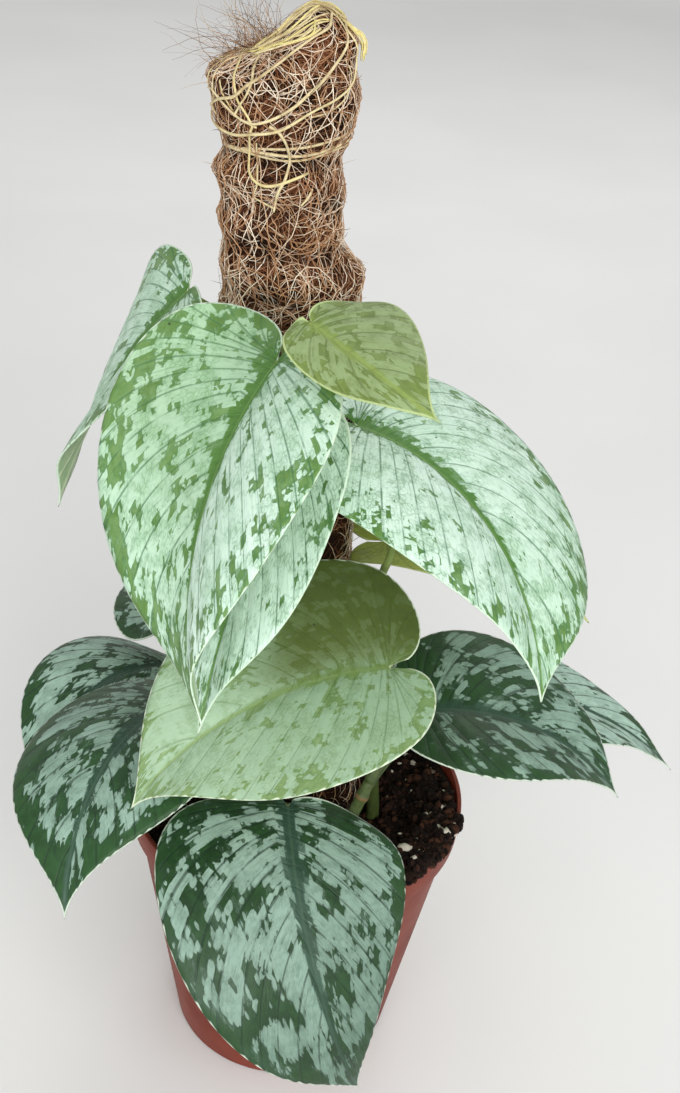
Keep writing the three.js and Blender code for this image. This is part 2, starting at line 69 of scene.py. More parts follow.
def srgb(code):
    """Linear colour of a hex code."""
    parts = [int(code[i:i + 2], 16) / 255 for i in (1, 3, 5)]
    return (*[p / 12.92 if p <= 0.04045 else ((p + 0.055) / 1.055) ** 2.4 for p in parts], 1.0)


def add_piece(name, points, triangles, values=None, node=None, slot=None, material=None):
    """A smooth mesh in the object's frame, with named values on its points."""
    mesh = bpy.data.meshes.new(name)
    mesh.from_pydata((np.asarray(points) * MM).tolist(), [], np.asarray(triangles).tolist())
    for key, data in (values or {}).items():
        data = np.asarray(data, float)
        kind, field = ("FLOAT_VECTOR", "vector") if data.ndim == 2 else ("FLOAT", "value")
        mesh.attributes.new(key, kind, "POINT").data.foreach_set(field, data.ravel())
    mesh.polygons.foreach_set("use_smooth", [True] * len(mesh.polygons))
    mesh.update()
    piece = bpy.data.objects.new(name, mesh)
    bpy.context.scene.collection.objects.link(piece)
    if material:
        mesh.materials.append(material)
    if slot:
        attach(piece, "root")
    if node:
        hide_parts(node)
    return piece


def grid_triangles(rows, columns, wrap=False):
    """Triangles of a grid of points, row by row; wrap joins the last column to the first."""
    i, j = np.meshgrid(np.arange(rows - 1), np.arange(columns if wrap else columns - 1), indexing="ij")
    k = (j + 1) % columns
    a, b = i * columns + j, i * columns + k
    c, d = (i + 1) * columns + k, (i + 1) * columns + j
    return np.concatenate([np.stack([a, b, c], -1), np.stack([a, c, d], -1)]).reshape(-1, 3)


def close_rings(rings, top, foot):
    """Points and triangles of a solid of rings of points, closed to a point at both ends."""
    rows, columns, _ = rings.shape
    last, count = (rows - 1) * columns, rows * columns
    caps = [[count, last + j, last + (j + 1) % columns] for j in range(columns)]
    caps += [[count + 1, (j + 1) % columns, j] for j in range(columns)]
    return np.vstack([rings.reshape(-1, 3), [top, foot]]), np.vstack([grid_triangles(rows, columns, wrap=True), caps])


class Parts:
    """Gathers small meshes into one."""

    def __init__(self):
        self.points, self.triangles, self.values, self.count = [], [], {}, 0

    def add(self, points, triangles, **values):
        self.points.append(points)
        self.triangles.append(triangles + self.count)
        self.count += len(points)
        for key, data in values.items():
            self.values.setdefault(key, []).append(np.broadcast_to(data, len(points)))

    def tube(self, path, radii, sides, up=None, flat=1.0, **values):
        """Adds one tube; a value is one number, or one for each point of the path."""
        points, triangles = tubes(path[None], np.asarray(radii)[None], sides, up, flat)
        values = {key: np.repeat(np.broadcast_to(data, len(path)), sides) for key, data in values.items()}
        self.add(points, triangles, **values)

    def piece(self, name, **rest):
        values = {key: np.concatenate(data) for key, data in self.values.items()}
        return add_piece(name, np.concatenate(self.points), np.concatenate(self.triangles), values, **rest)


def catmull_rom(points, steps=24):
    """A centripetal Catmull-Rom curve through the points, as many even steps along it."""
    p = np.asarray(points, float)
    p = np.vstack([2 * p[0] - p[1], p, 2 * p[-1] - p[-2]])
    out = []
    for k in range(1, len(p) - 2):
        dt = [max(np.linalg.norm(p[k + m] - p[k + m - 1]) ** 0.5, 1e-4) for m in (0, 1, 2)]
        t1 = (p[k] - p[k - 1]) / dt[0] - (p[k + 1] - p[k - 1]) / (dt[0] + dt[1]) + (p[k + 1] - p[k]) / dt[1]
        t2 = (p[k + 1] - p[k]) / dt[1] - (p[k + 2] - p[k]) / (dt[1] + dt[2]) + (p[k + 2] - p[k + 1]) / dt[2]
        t1, t2 = t1 * dt[1], t2 * dt[1]
        a, d = p[k], p[k + 1] - p[k]
        c2, c3 = 3 * d - 2 * t1 - t2, t1 + t2 - 2 * d
        u = np.linspace(0, 1, 25)[:-1, None]
        out.append(a + t1 * u + c2 * u * u + c3 * u ** 3)
    return resample(np.vstack([*out, p[-2][None]]), steps)


def resample(path, steps):
    length = np.concatenate([[0], np.cumsum(np.linalg.norm(np.diff(path, axis=0), axis=1))])
    wanted = np.linspace(0, length[-1], steps + 1)
    return np.stack([np.interp(wanted, length, path[:, k]) for k in range(3)], -1)


def tubes(paths, radii, sides, up=None, flat=1.0):
    """Tubes along many paths at once: points and triangles. paths is (n, k, 3), radii (n, k)."""
    n, k, _ = paths.shape
    along = unit(np.gradient(paths, axis=1))
    guide = np.broadcast_to([0.31, 0.2, 0.93] if up is None else up, paths.shape)
    across = unit(np.cross(along, guide))
    raised = np.cross(across, along)
    angle = TURN * np.arange(sides) / sides
    ring = across[:, :, None] * np.cos(angle)[:, None] + flat * raised[:, :, None] * np.sin(angle)[:, None]
    points = paths[:, :, None] + radii[:, :, None, None] * ring
    one = grid_triangles(k, sides, wrap=True)
    caps = [[0, j + 1, j] for j in range(1, sides - 1)]
    caps += [[(k - 1) * sides, (k - 1) * sides + j, (k - 1) * sides + j + 1] for j in range(1, sides - 1)]
    one = np.vstack([one, caps])
    triangles = one[None] + (np.arange(n) * k * sides)[:, None, None]
    return points.reshape(-1, 3), triangles.reshape(-1, 3)


# ---------------------------------------------------------------- material helpers


class Wire:
    """A value in a material's node tree; arithmetic on it makes Math nodes."""

    def __init__(self, look, socket):
        self.look, self.socket = look, socket

    def math(self, operation, other=0.0):
        return self.look.wire("ShaderNodeMath", {0: self, 1: other}, operation=operation)

    def __add__(self, other):
        return self.math("ADD", other)

    def __sub__(self, other):
        return self.math("SUBTRACT", other)

    def __mul__(self, other):
        return self.math("MULTIPLY", other)

    def __truediv__(self, other):
        return self.math("DIVIDE", other)

    def __rsub__(self, other):
        return self * -1.0 + other

    def step(self, low, high, to_low=0.0, to_high=1.0):
        """A smooth step between two values of this one."""
        inputs = {"Value": self, "From Min": low, "From Max": high, "To Min": to_low, "To Max": to_high}
        return self.look.wire("ShaderNodeMapRange", inputs, interpolation_type="SMOOTHSTEP")

    def scaled(self, *factors):
        return self.look.wire("ShaderNodeVectorMath", {0: self, 1: factors}, operation="MULTIPLY")

    def shifted(self, *distances):
        return self.look.wire("ShaderNodeVectorMath", {0: self, 1: distances}, operation="ADD")

    def split(self):
        node = self.look.node("ShaderNodeSeparateXYZ", {0: self})
        return [Wire(self.look, socket) for socket in node.outputs]

    def to_line(self):
        """How far this value is from the nearest whole number."""
        return (self - self.math("ROUND")).math("ABSOLUTE")


class Look:
    """A node material and shorthand to build it."""

    def __init__(self, name, roughness=0.6, specular=0.4, **fixed):
        self.material = bpy.data.materials.new(name)
        self.material.use_nodes = True
        self.tree = self.material.node_tree
        self.shader = self.tree.nodes["Principled BSDF"]
        self.shader.inputs["Roughness"].default_value = roughness
        self.shader.inputs["Specular IOR Level"].default_value = specular
        for key, value in fixed.items():
            self.shader.inputs[key.replace("_", " ")].default_value = value

    def node(self, kind, inputs=None, **settings):
        made = self.tree.nodes.new(kind)
        for key, value in settings.items():
            setattr(made, key, value)
        for key, value in (inputs or {}).items():
            if isinstance(value, Wire):
                self.tree.links.new(value.socket, made.inputs[key])
            else:
                made.inputs[key].default_value = srgb(value) if isinstance(value, str) else value
        return made

    def wire(self, kind, inputs=None, output=0, **settings):
        return Wire(self, self.node(kind, inputs, **settings).outputs[output])

    def value(self, name, output="Fac"):
        return self.wire("ShaderNodeAttribute", output=output, attribute_name=name)

    def place(self):
        """The object's own coordinates in millimetres."""
        return self.wire("ShaderNodeTexCoord", output="Object").scaled(1000, 1000, 1000)

    def noise(self, vector, scale=1.0, detail=2.0, roughness=0.5, distortion=0.0):
        inputs = {"Vector": vector, "Scale": scale, "Detail": detail, "Roughness": roughness, "Distortion": distortion}
        return self.wire("ShaderNodeTexNoise", inputs)

    def cells(self, vector, output="Distance", scale=1.0, feature="F1"):
        return self.wire("ShaderNodeTexVoronoi", {"Vector": vector, "Scale": scale}, output, feature=feature)

    def triple(self, x=0.0, y=0.0, z=0.0):
        return self.wire("ShaderNodeCombineXYZ", {0: x, 1: y, 2: z})

    def blend(self, amount, a, b):
        return self.wire("ShaderNodeMix", {0: amount, 6: a, 7: b}, 2, data_type="RGBA")

    def coats(self, colour, *coats):
        """A colour with coats over it, each an amount and a colour."""
        for amount, coat in coats:
            colour = self.blend(amount, colour, coat)
        return colour

    def finish(self, colour, height=None, depth=0.2, strength=0.6, rough=None):
        self.tree.links.new(colour.socket, self.shader.inputs["Base Color"])
        if rough is not None:
            self.tree.links.new(rough.socket, self.shader.inputs["Roughness"])
        if height is not None:
            bump = self.wire("ShaderNodeBump", {"Height": height, "Distance": depth * MM, "Strength": strength})
            self.tree.links.new(bump.socket, self.shader.inputs["Normal"])
        return self.material


# ---------------------------------------------------------------- pole surface

# Outline of the wrap: height, radius to the left, radius to the right.
OUTLINE = np.array([
    (92, 20.5, 20.5), (122, 20.9, 20.9), (135, 21.5, 21.5), (165, 20.4, 20.4), (205, 21.8, 21.4), (245, 20.4, 19.4),
    (290, 21.8, 21.4), (330, 22, 21.6), (346, 22.5, 22.9), (357, 23.2, 23.2), (362, 23.1, 19.6), (366, 22.7, 16.6),
    (373, 23, 16.4), (381, 21.2, 18), (389, 22.6, 17.4), (397, 19.6, 17.8), (404, 20.5, 20.4), (411, 22.6, 23.6),
    (418, 23.2, 23.1), (423, 22.3, 21.2), (426, 18.6, 18.2), (428, 15.6, 15.6), (430.5, 14, 13), (433, 12.4, 10.8),
    (435.5, 10, 9), (438, 7.2, 7), (440, 4.6, 4.6), (441, 2.6, 2.6),
])


def closing(z):
    """How far the wrap leans and rounds off towards its crown, 0 to 1."""
    return smooth(420, 434, z)


def pole_x(z):
    """The pole's line, which leans left."""
    return 16.4 - math.tan(math.radians(5.2)) * z


def axis_x(z):
    """The wrap's own axis, which leans right towards the crown."""
    return pole_x(z) + 12 * closing(z)


def wrap_turns(z, bearing):
    """1 on a turn of the wrap, -1 in the furrow between two."""
    return np.cos(TURN * (z - 388) / 15.8 + 0.6 * np.cos(bearing) + 1.6 * np.sin(bearing))


def coir_radius(z, bearing):
    """The wrap's radius round its own axis, with its turns and lumps."""
    left, right = [np.interp(z, OUTLINE[:, 0], OUTLINE[:, k]) for k in (1, 2)]
    fade = smooth(0, 12, CROWN - z) * smooth(120, 132, z)
    lay = 0.5 * np.sin(3 * bearing + z / 8) + 0.4 * np.sin(4 * bearing - z / 9 + 1)
    lumps = 0.5 * np.sin(2 * bearing + z / 23) + 0.4 * np.sin(5 * bearing + z / 31 + 2)
    relief = 0.7 * wrap_turns(z, bearing) * smooth(250, 340, z) + lay + lumps
    depth = 1 + 0.28 * closing(z) * np.sin(bearing) ** 2
    return depth * mix(left, right, 0.5 + 0.5 * np.cos(bearing)) + fade * relief


HEAD = np.array([pole_x(DOME), 0, DOME])  # the centre of the pole's head


def head_table(rows, columns):
    """How far the head reaches from its centre, by elevation and bearing."""
    elevations, bearings = np.linspace(0, TURN / 4, rows), np.linspace(-TURN / 2, TURN / 2, columns)
    elevation, bearing = np.meshgrid(elevations, bearings, indexing="ij")
    way = polar(np.cos(elevation), bearing, np.sin(elevation))
    reach = np.arange(6, 36, 0.1)
    at = HEAD + way[:, :, None] * reach[:, None]
    side = at[..., 0] - axis_x(at[..., 2])
    within = np.hypot(side, at[..., 1]) < coir_radius(at[..., 2], np.arctan2(at[..., 1], side))
    return reach[np.argmin(within & (at[..., 2] < CROWN), axis=-1)]


HEAD_TABLE = head_table(41, 97)


def head_reach(way):
    """How far the pole's head reaches from its centre, in a direction."""
    rows, columns = HEAD_TABLE.shape
    row = np.arcsin(np.clip(way[..., 2], 0, 1)) / (TURN / 4) * (rows - 1)
    column = (np.arctan2(way[..., 1], way[..., 0]) / TURN + 0.5) * (columns - 1)
    i, j = np.minimum(row.astype(int), rows - 2), np.minimum(column.astype(int), columns - 2)
    low = mix(HEAD_TABLE[i, j], HEAD_TABLE[i, j + 1], column - j)
    high = mix(HEAD_TABLE[i + 1, j], HEAD_TABLE[i + 1, j + 1], column - j)
    return mix(low, high, row - i)


def onto_pole(points, lift):
    """Moves points onto the coir's surface, raised by lift; also gives the way out of it."""
    z = points[..., 2]
    axis = axis_x(z)
    side = np.stack([points[..., 0] - axis, points[..., 1], np.zeros_like(z)], -1)
    out = unit(side)
    bearing = np.arctan2(side[..., 1], side[..., 0])
    reach = coir_radius(z, bearing) + lift
    on_side = np.stack([axis, np.zeros_like(z), z], -1) + out * reach[..., None]
    way = unit(points - HEAD)
    on_head = HEAD + way * (head_reach(way) + lift)[..., None]
    head = smooth(DOME - 4, DOME + 4, z)[..., None]
    return mix(on_side, on_head, head), unit(mix(out, way, head))


def pole_point(z, bearing):
    """A point near the pole's surface at a height and a bearing in degrees."""
    a = math.radians(bearing)
    reach = float(coir_radius(z, a))
    return [float(axis_x(z)) + reach * math.cos(a), reach * math.sin(a), z]


# ---------------------------------------------------------------- coir


def coir_look(name, deep, tones):
    look = Look(name, roughness=0.8, specular=0.25)
    tone, place = look.value("tone"), look.place()
    grain = look.noise(place, 0.9, 3)
    rusty = look.noise(place.shifted(40, 0, 0), 0.055)
    warm = look.coats(tones[0], (tone.step(0, 0.4), tones[1]), (tone.step(0.35, 0.7), tones[2]),
                      (tone.step(0.65, 1), tones[3]), (rusty.step(0.5, 0.68, 0, 0.22), "#a4623c"),
                      (grain.step(0.4, 0.8, 0, 0.25), deep))
    # Painted shade: the lower a fibre's depth value, the more it takes the dark colour.
    colour = look.blend(look.value("depth").step(-1.15, 0.75, 0.04, 1), deep, warm)
    return look.finish(colour, grain, 0.15, 0.5)


def clumps(z, bearing):
    """Where the fibres bunch up, 1, or leave a hollow, -1."""
    return np.sin(z / 6.3 + 1.7 * np.sin(2 * bearing + 1)) * np.cos(2.5 * bearing + z / 9.7)


def add_threads(name, path, radii, tone, material, depth=1.0, normals=None):
    """One piece of many thin threads, with a tone for each thread and a depth for each point of its path."""
    points, triangles = tubes(path, radii, 3, normals)
    count, steps, _ = path.shape
    depth = np.repeat(np.broadcast_to(depth, (count, steps)).ravel(), 3)
    values = {"tone": np.repeat(tone, 3 * steps), "depth": depth}
    return add_piece(name, points, triangles, values, slot="coir_fibre", material=material)


def beside_pole(z, bearing):
    """Points at the usual distance from the pole's line."""
    return np.stack([pole_x(z) + NEAR_POLE * np.cos(bearing), NEAR_POLE * np.sin(bearing), z], -1)


def make_fibres(name, count, low, high, seed, material):
    """Curly fibres that lie on the coir: a dark mat, painted darker still as shade, and pale loose ones over it."""
    random = np.random.default_rng(seed)
    bends, on_crown, over_mat = 6, 0.24, 0.24
    start = random.uniform(0, TURN, count)
    z = random.uniform(low, high, count)
    place = beside_pole(z, start)
    over = unit(random.normal(size=(count, 3)) * [1, 1, 0.6] + [0, 0, 0.75])
    crown = random.uniform(0, 1, count) < (on_crown if high > DOME else 0)
    place[crown] = HEAD + 23 * over[crown]
    loose = random.uniform(size=count) < over_mat
    lift = np.where(loose, random.uniform(0.4, 1.5, count), random.uniform(-0.9, 0.5, count))
    place, out = onto_pole(place, lift)
    length = random.uniform(8, 30, count)
    z = place[:, 2]
    start_bearing = np.arctan2(place[:, 1], place[:, 0] - axis_x(z))
    flow = 0.8 * np.sin(z / 7.5 + 2.2 * np.sin(2 * start_bearing + z / 19)) + 0.5 * np.sin(3 * start_bearing - z / 11)
    usual = mix(0.2, -0.5, smooth(395, 412, z)) + flow + random.normal(0, 0.28, count)
    odd = random.uniform(-1.6, 1.6, count)
    slant = np.where(random.uniform(size=count) < np.where(loose, 0.35, 0.65), usual, odd)
    side = unit(np.cross([0, 0, 1.0], out))
    rise = np.cross(out, side)
    way = side * np.cos(slant)[:, None] + rise * np.sin(slant)[:, None]
    bend = random.normal(0, 1, count) * np.where(loose, 1.6, 1.0) / bends
    path, normals, depths = [place], [out], [lift]
    wander = random.uniform(0, TURN, count)
    for k in range(bends):
        turn = bend + random.normal(0, 0.14, count)
        across = np.cross(out, way)
        way = unit(way * np.cos(turn)[:, None] + across * np.sin(turn)[:, None])
        raised = lift + 0.4 * np.sin(wander + 2.1 * k)
        raised = np.where(k == bends - 1, raised - 0.6, raised)
        step, out = onto_pole(path[-1] + way * (length / bends)[:, None], raised)
        way = unit(step - path[-1])
        path.append(step)
        normals.append(out)
        depths.append(raised)
    path, normals, depths = [np.stack(rows, 1) for rows in (path, normals, depths)]
    bearing = np.arctan2(path[..., 1], path[..., 0] - axis_x(path[..., 2]))
    furrow = wrap_turns(path[..., 2], bearing) * (path[..., 2] < 408)
    fine = np.where(loose, random.uniform(0.13, 0.22, count), random.uniform(0.1, 0.19, count))
    radii = fine[:, None] * np.array([0.5, 1, 1, 1, 1, 1, 0.45])
    tone = np.where(loose, random.uniform(0.55, 1, count), 0.6 * random.beta(1.2, 1.4, count))
    # Painted light and shade: fibres on the bunches are a little paler and those in the hollows darker.
    tone = np.clip(tone + 0.12 * clumps(z, start_bearing), 0, 1)
    # Painted shade: the depth value is lowered for fibres that lie low in the mat, in the furrows between turns, in
    # hollows and near the soil.
    shade_near_soil = 1.6 * (1 - smooth(125, 175, path[..., 2]))
    depth = depths + 0.6 * furrow + 0.55 * clumps(path[..., 2], bearing) - shade_near_soil
    return add_threads(name, path, radii, tone, material, depth, normals)


def make_fuzz(name, count, low, high, seed, material):
    """Loose fibre ends that stand off the wrap."""
    random = np.random.default_rng(seed)
    bearing = random.uniform(0, TURN, count)
    z = random.uniform(low, high, count)
    place, out = onto_pole(beside_pole(z, bearing), 0)
    side = unit(np.cross([0, 0, 1.0], out))
    way = unit(0.5 * out + side * random.normal(0, 1, (count, 1)) + random.normal(0, 0.6, (count, 3)))
    length = random.gamma(3, 1.5, count)[:, None]
    t = np.linspace(0, 1, 5)[None, :, None]
    curl = unit(random.normal(size=(count, 3)))[:, None]
    path = place[:, None] + (way * length)[:, None] * t + curl * 0.35 * length[:, None] * t ** 2
    path[:, 0] -= out * 0.8
    radii = random.uniform(0.08, 0.15, count)[:, None] * np.array([1, 1, 0.9, 0.7, 0.3])
    return add_threads(name, path, radii, random.uniform(0.4, 1, count), material)


def make_wisps(name, count, seed, material):
    """The thin tuft that sprays left and up from the head's left shoulder."""
    random = np.random.default_rng(seed)
    stops = [(425.5, 188), (427, 193), (428.5, 199), (429.5, 203), (430.5, 201), (430, 188), (428, 180), (432, 190)]
    stops = np.array([pole_point(z, b) for z, b in stops])
    root, _ = onto_pole(stops[random.integers(0, len(stops), count)] + random.normal(0, 1.8, (count, 3)), -0.3)
    # The angle is measured from the left, in the plane that faces the plant's front.
    low = random.uniform(size=count) < 0.5
    angle = np.where(low, random.normal(0.25, 0.26, count), random.normal(1.25, 0.34, count))
    left, rise = np.array([-1.0, 0.0, -0.05]), np.array([0, 0.53, 0.85])
    way = left * np.cos(angle)[:, None] + rise * np.sin(angle)[:, None] + random.normal(0, 0.16, (count, 3))
    way = unit(way)
    step = random.uniform(8, 31, (count, 1)) / 9
    bend = random.normal(0, 0.13, (count, 3))
    path = [root]
    for _ in range(9):
        path.append(path[-1] + way * step)
        way = unit(way + bend + random.normal(0, 0.13, (count, 3)))
    path = np.stack(path, 1)
    path[..., 2] = np.minimum(path[..., 2], ROOM)
    radii = random.uniform(0.06, 0.13, count)[:, None] * np.linspace(1.1, 0.3, 10)
    return add_threads(name, path, radii, random.uniform(0.1, 0.95, count), material)


def make_pole_core(material):
    """The matted body of the wrap, under its fibres."""
    foot, sunk = 93, 0.6
    bearings = TURN * np.arange(96) / 96
    z, a = np.meshgrid(np.linspace(foot, DOME, 110), bearings, indexing="ij")
    random = np.random.default_rng(3)
    rough = random.normal(0, 0.22, z.shape) * smooth(118, 126, z)
    reach = coir_radius(z, a) - 0.55 + rough
    side = np.stack([axis_x(z) + reach * np.cos(a), reach * np.sin(a), z], -1)
    p, b = np.meshgrid(np.linspace(0, math.pi / 2, 24)[1:-1], bearings, indexing="ij")
    way = polar(np.cos(p), b, np.sin(p))
    reach = head_reach(way) - sunk + random.normal(0, 0.2, p.shape)
    head = HEAD + way * reach[..., None]
    top = HEAD + [0, 0, head_reach(np.array([0, 0, 1.0])) - sunk]
    points, triangles = close_rings(np.concatenate([side, head]), top, [pole_x(foot), 0, foot])
    return add_piece("coir_core", points, triangles, node="coir_pole", slot="coir_fibre", material=material)


def core_look():
    look = Look("coir core", roughness=0.95, specular=0.15)
    place = look.place()
    patches = look.noise(place, 0.12, 3)
    strands = look.noise(place.scaled(0.5, 0.5, 1.6), 0.9, 4, 0.7, 2.0)
    # Painted shade: the body is near black, standing for the shade in the gaps between the fibres, with brown strands.
    colour = look.coats("#170c07", (strands.step(0.4, 0.75), "#543420"), (patches.step(0.35, 0.7, 0, 0.5), "#26150d"))
    return look.finish(colour, strands, 0.8, 0.9)


fibre_material = coir_look("coir fibres", "#150904", ("#552f1a", "#895636", "#c99b72", "#fff1da"))
wisp_material = coir_look("coir wisps", "#3c2617", ("#4a3426", "#7d5f48", "#b3926f", "#dcc4a4"))
make_pole_core(core_look())
make_fibres("coir_fibres_head", 4400, 376, 440, 21, fibre_material)
make_fibres("coir_fibres_upper", 3700, 318, 382, 22, fibre_material)
make_fibres("coir_fibres_lower", 3900, 118, 320, 25, fibre_material)
make_fuzz("coir_fuzz", 900, 125, 438, 23, wisp_material)
make_wisps("coir_wisps", 150, 24, wisp_material)

# ---------------------------------------------------------------- raffia

# Each strand: half width, lift, and the heights and bearings it passes on the pole.
RAFFIA = [
    (0.42, 1.5, [(429.3, 202), (427.3, 195), (426, 218), (422.1, 236), (416.5, 240), (412.3, 248), (410.1, 251),
                 (407, 247), (398.1, 238), (394.3, 240), (391.8, 246), (390.8, 256), (391.8, 267), (393.7, 279),
                 (395.4, 294)]),
    (0.38, 1.8, [(428.8, 215), (426, 237), (423.2, 248), (418.9, 247), (416.1, 242), (412, 236)]),
    (0.42, 2.1, [(438, 40), (440.6, 0), (439.9, 303), (437.2, 285), (434.4, 260), (430.5, 249), (427.1, 250),
                 (424.1, 250), (421.4, 246), (418.2, 238), (416, 223), (412, 205)]),
    (0.44, 1.7, [(436, 20), (440, 352), (439.4, 323), (435.6, 319), (430.5, 307), (425.2, 301), (420.8, 294),
                 (416.1, 279), (412.8, 265), (410.9, 252), (411.3, 243), (414, 228), (418, 212)]),
    (0.42, 2.0, [(434, 12), (437.5, 345), (436.6, 321), (427.5, 337), (422.4, 334), (419.2, 319), (416.4, 301),
                 (412.3, 281), (409.8, 270), (407.2, 249), (405.1, 229), (405.4, 213), (408, 190), (412, 170)]),
    (0.4, 1.5, [(411, 264), (409.5, 270), (406, 275), (399.5, 278), (394.2, 274), (388.8, 267), (382.2, 262)]),
    (0.3, 1.2, [(404, 250), (399.5, 247), (390.8, 249), (385.9, 244), (384.8, 251), (383.4, 262)]),
    (0.36, 1.2, [(390.4, 297), (387.4, 293), (384.7, 287)]),
    (0.34, 1.4, [(429.3, 198), (427.2, 190), (425.5, 190), (423.5, 203), (420, 206), (414, 199), (410, 214)]),
    (0.32, 1.6, [(428.9, 202), (427.1, 206), (425.2, 204), (422.7, 215), (417.5, 214), (412, 206)]),
    (0.3, 1.0, [(421.5, 222), (415.9, 227), (411.5, 239), (409.7, 254)]),
    (0.3, 1.0, [(429.5, 315), (423.7, 335), (417.9, 326), (414.7, 313), (413.6, 295)]),
    (0.38, 1.4, [(434, 70), (426, 62), (414, 70), (408, 86), (404, 96)]),
    (0.4, 1.6, [(437, 110), (428, 98), (419, 108), (411, 124), (406, 140), (403, 160)]),
    (0.38, 1.5, [(437, 150), (430, 136), (421, 128), (413, 116), (406, 100), (402, 84)]),
    (0.36, 1.4, [(434, 176), (426, 184), (417, 182), (409, 178), (404, 172)]),
    (0.34, 1.3, [(404, 60), (398, 66), (392, 78), (389, 92), (391, 104)]),
]
# Turns of the tie round the waist: height, how much it slants, half width.
TIE = [(402.2, 3.4, 0.42), (400.2, 1.6, 0.55), (399, 1.2, 0.42)]
# Strips of the bundle that is folded over the crown, pinched at its foot on the left: heights and bearings.
STRIPS = [
    [(428.4, 206), (430, 201), (433, 199), (436.5, 197), (439.3, 192), (441, 170), (441, 20), (439, 352)],
    [(428.6, 204), (430.6, 203), (433.6, 205), (437, 206), (440, 205), (441, 220), (441, 330), (439.5, 345)],
    [(428.8, 208), (431, 206), (434.2, 208), (438.1, 212), (440.3, 225), (441, 262), (440.5, 310), (438.6, 330)],
    [(428.6, 213), (431, 215), (434.1, 224), (438, 236), (440.2, 248), (440.8, 285), (439.6, 315)],
    [(427.6, 209), (429.4, 213), (432.3, 226), (435.3, 242), (438, 262), (439.1, 285)],
    [(427.8, 216), (429.6, 226), (432, 238), (434.8, 252), (437.2, 266)],
]


def strand_path(stops, lift, steps):
    """A strand's line on the pole, and the way out of the pole along it."""
    return onto_pole(catmull_rom([pole_point(z, b) for z, b in stops], steps), lift)


def raffia_look():
    look = Look("raffia", roughness=0.6, specular=0.35)
    tone, place = look.value("tone"), look.place()
    fibre = look.noise(place.scaled(2.5, 2.5, 0.6), 1.0, 3)
    blotch, line = look.noise(place, 0.16), look.noise(look.triple(look.value("along")))
    colour = look.coats("#a88c58", (tone.step(0, 0.6), "#dccb9d"), (tone.step(0.6, 1), "#e9dc88"),
                        (fibre.step(0.4, 0.75, 0, 0.45), "#f3e9c6"), (blotch.step(0.52, 0.74, 0, 0.55), "#93703f"),
                        (line.step(0.45, 0.75, 0, 0.45), "#7c5c34"))
    return look.finish(colour, fibre, 0.12, 0.5)


def make_raffia():
    random = np.random.default_rng(31)
    parts = Parts()

    def lay(strand, width, thick, tone):
        path, out = strand
        steps = len(path)
        width = width * (1 + 0.12 * np.sin(np.linspace(0, 9, steps) + random.uniform(0, 6)))
        along = np.linspace(0, 1, steps) * steps * 0.3 + random.uniform(0, 50)
        parts.tube(path, width, 6, out[None], thick, along=along, tone=tone)

    for width, lift, stops in RAFFIA:
        lay(strand_path(stops, lift, 44), 1.12 * width, 0.5, random.uniform(0.45, 0.8))
    for k, (z0, sway, width) in enumerate(TIE):
        a = np.linspace(0, 360, 97)
        z = z0 + sway * np.cos(np.radians(a - 350 + 12 * k)) + 0.4 * np.sin(np.radians(3 * a + 70 * k))
        turn = onto_pole(np.array([pole_point(h, b) for h, b in zip(z, a)]), 0.8 + 0.2 * k)
        lay(turn, width, 0.4, random.uniform(0.2, 0.6))
    for stops in STRIPS:
        for k in range(4):
            loose = np.linspace(0.4, 1.2, len(stops))[:, None]
            shake = random.normal(0, 1, (len(stops), 2)) * [0.4, 3.5] * loose
            lifts = 0.9 + 0.5 * k + 1.6 * np.sin(np.linspace(0.1, 3, 41)) * random.uniform(0.2, 1.2)
            shaken = [(min(z + dz, CROWN), b + db) for (z, b), (dz, db) in zip(stops, shake)]
            lay(strand_path(shaken, lifts, 40), random.uniform(0.24, 0.46), 0.45, random.uniform(0.35, 1))
    # The loose yellow loops that hang over the head's right side.
    for k in range(6):
        reach, drop = random.uniform(2.4, 4.4), random.uniform(-1.5, 1.5)
        stops = [(441, 20 - 6 * k), (440.2, 352 - k), (437.5, 336), (434.5, 337), (431.5, 340), (428 + drop, 343),
                 (427 + drop, 346), (429 + drop, 349), (433, 347 + k)]
        lifts = [1, 1.6, reach, reach + 0.5, reach, 1.2]
        lifts = np.interp(np.linspace(0, 1, 41), [0, 0.25, 0.5, 0.72, 0.86, 1], lifts)
        lay(strand_path(stops, lifts, 40), random.uniform(0.28, 0.42), 0.5, random.uniform(0.8, 1))
    parts.piece("raffia_strands", node="raffia_tie", slot="raffia", material=raffia_look())


make_raffia()

# ---------------------------------------------------------------- leaves

# What a leaf has where its row says nothing else.
HABIT = dict(lobe=10, wide=0.21, full=0.53, taper=0.07, sweep=0, twist=0, fold=(9, 9), curl=(18, 18), via=(),
             whiter=(0, 0, 0), shaded=(0, 0, 0))


def leaf(at, heading, pitch, roll, long, half, droop, kind, stem, node, marks, **rest):
    """A leaf's row: place and attitude of its blade, size, kind, where its petiole leaves which stem, markings.

    marks is the share of silver, how white it is, how far the blade is darkened towards painted shade and how netted.
    whiter says how much whiter the silver is painted on the right half and at the tip, as painted light
    and in part the leaf's own paler tip, and how much painted shade darkens the tip. shaded says on which half
    another leaf's shade lies and is painted, 0 for both, how far out from the base, and how strongly.
    """
    given = dict(at=at, heading=heading, pitch=pitch, roll=roll, long=long, half=half, droop=droop)
    return {**HABIT, **given, "kind": kind, "stem": stem, "node": node, "marks": marks, **rest}


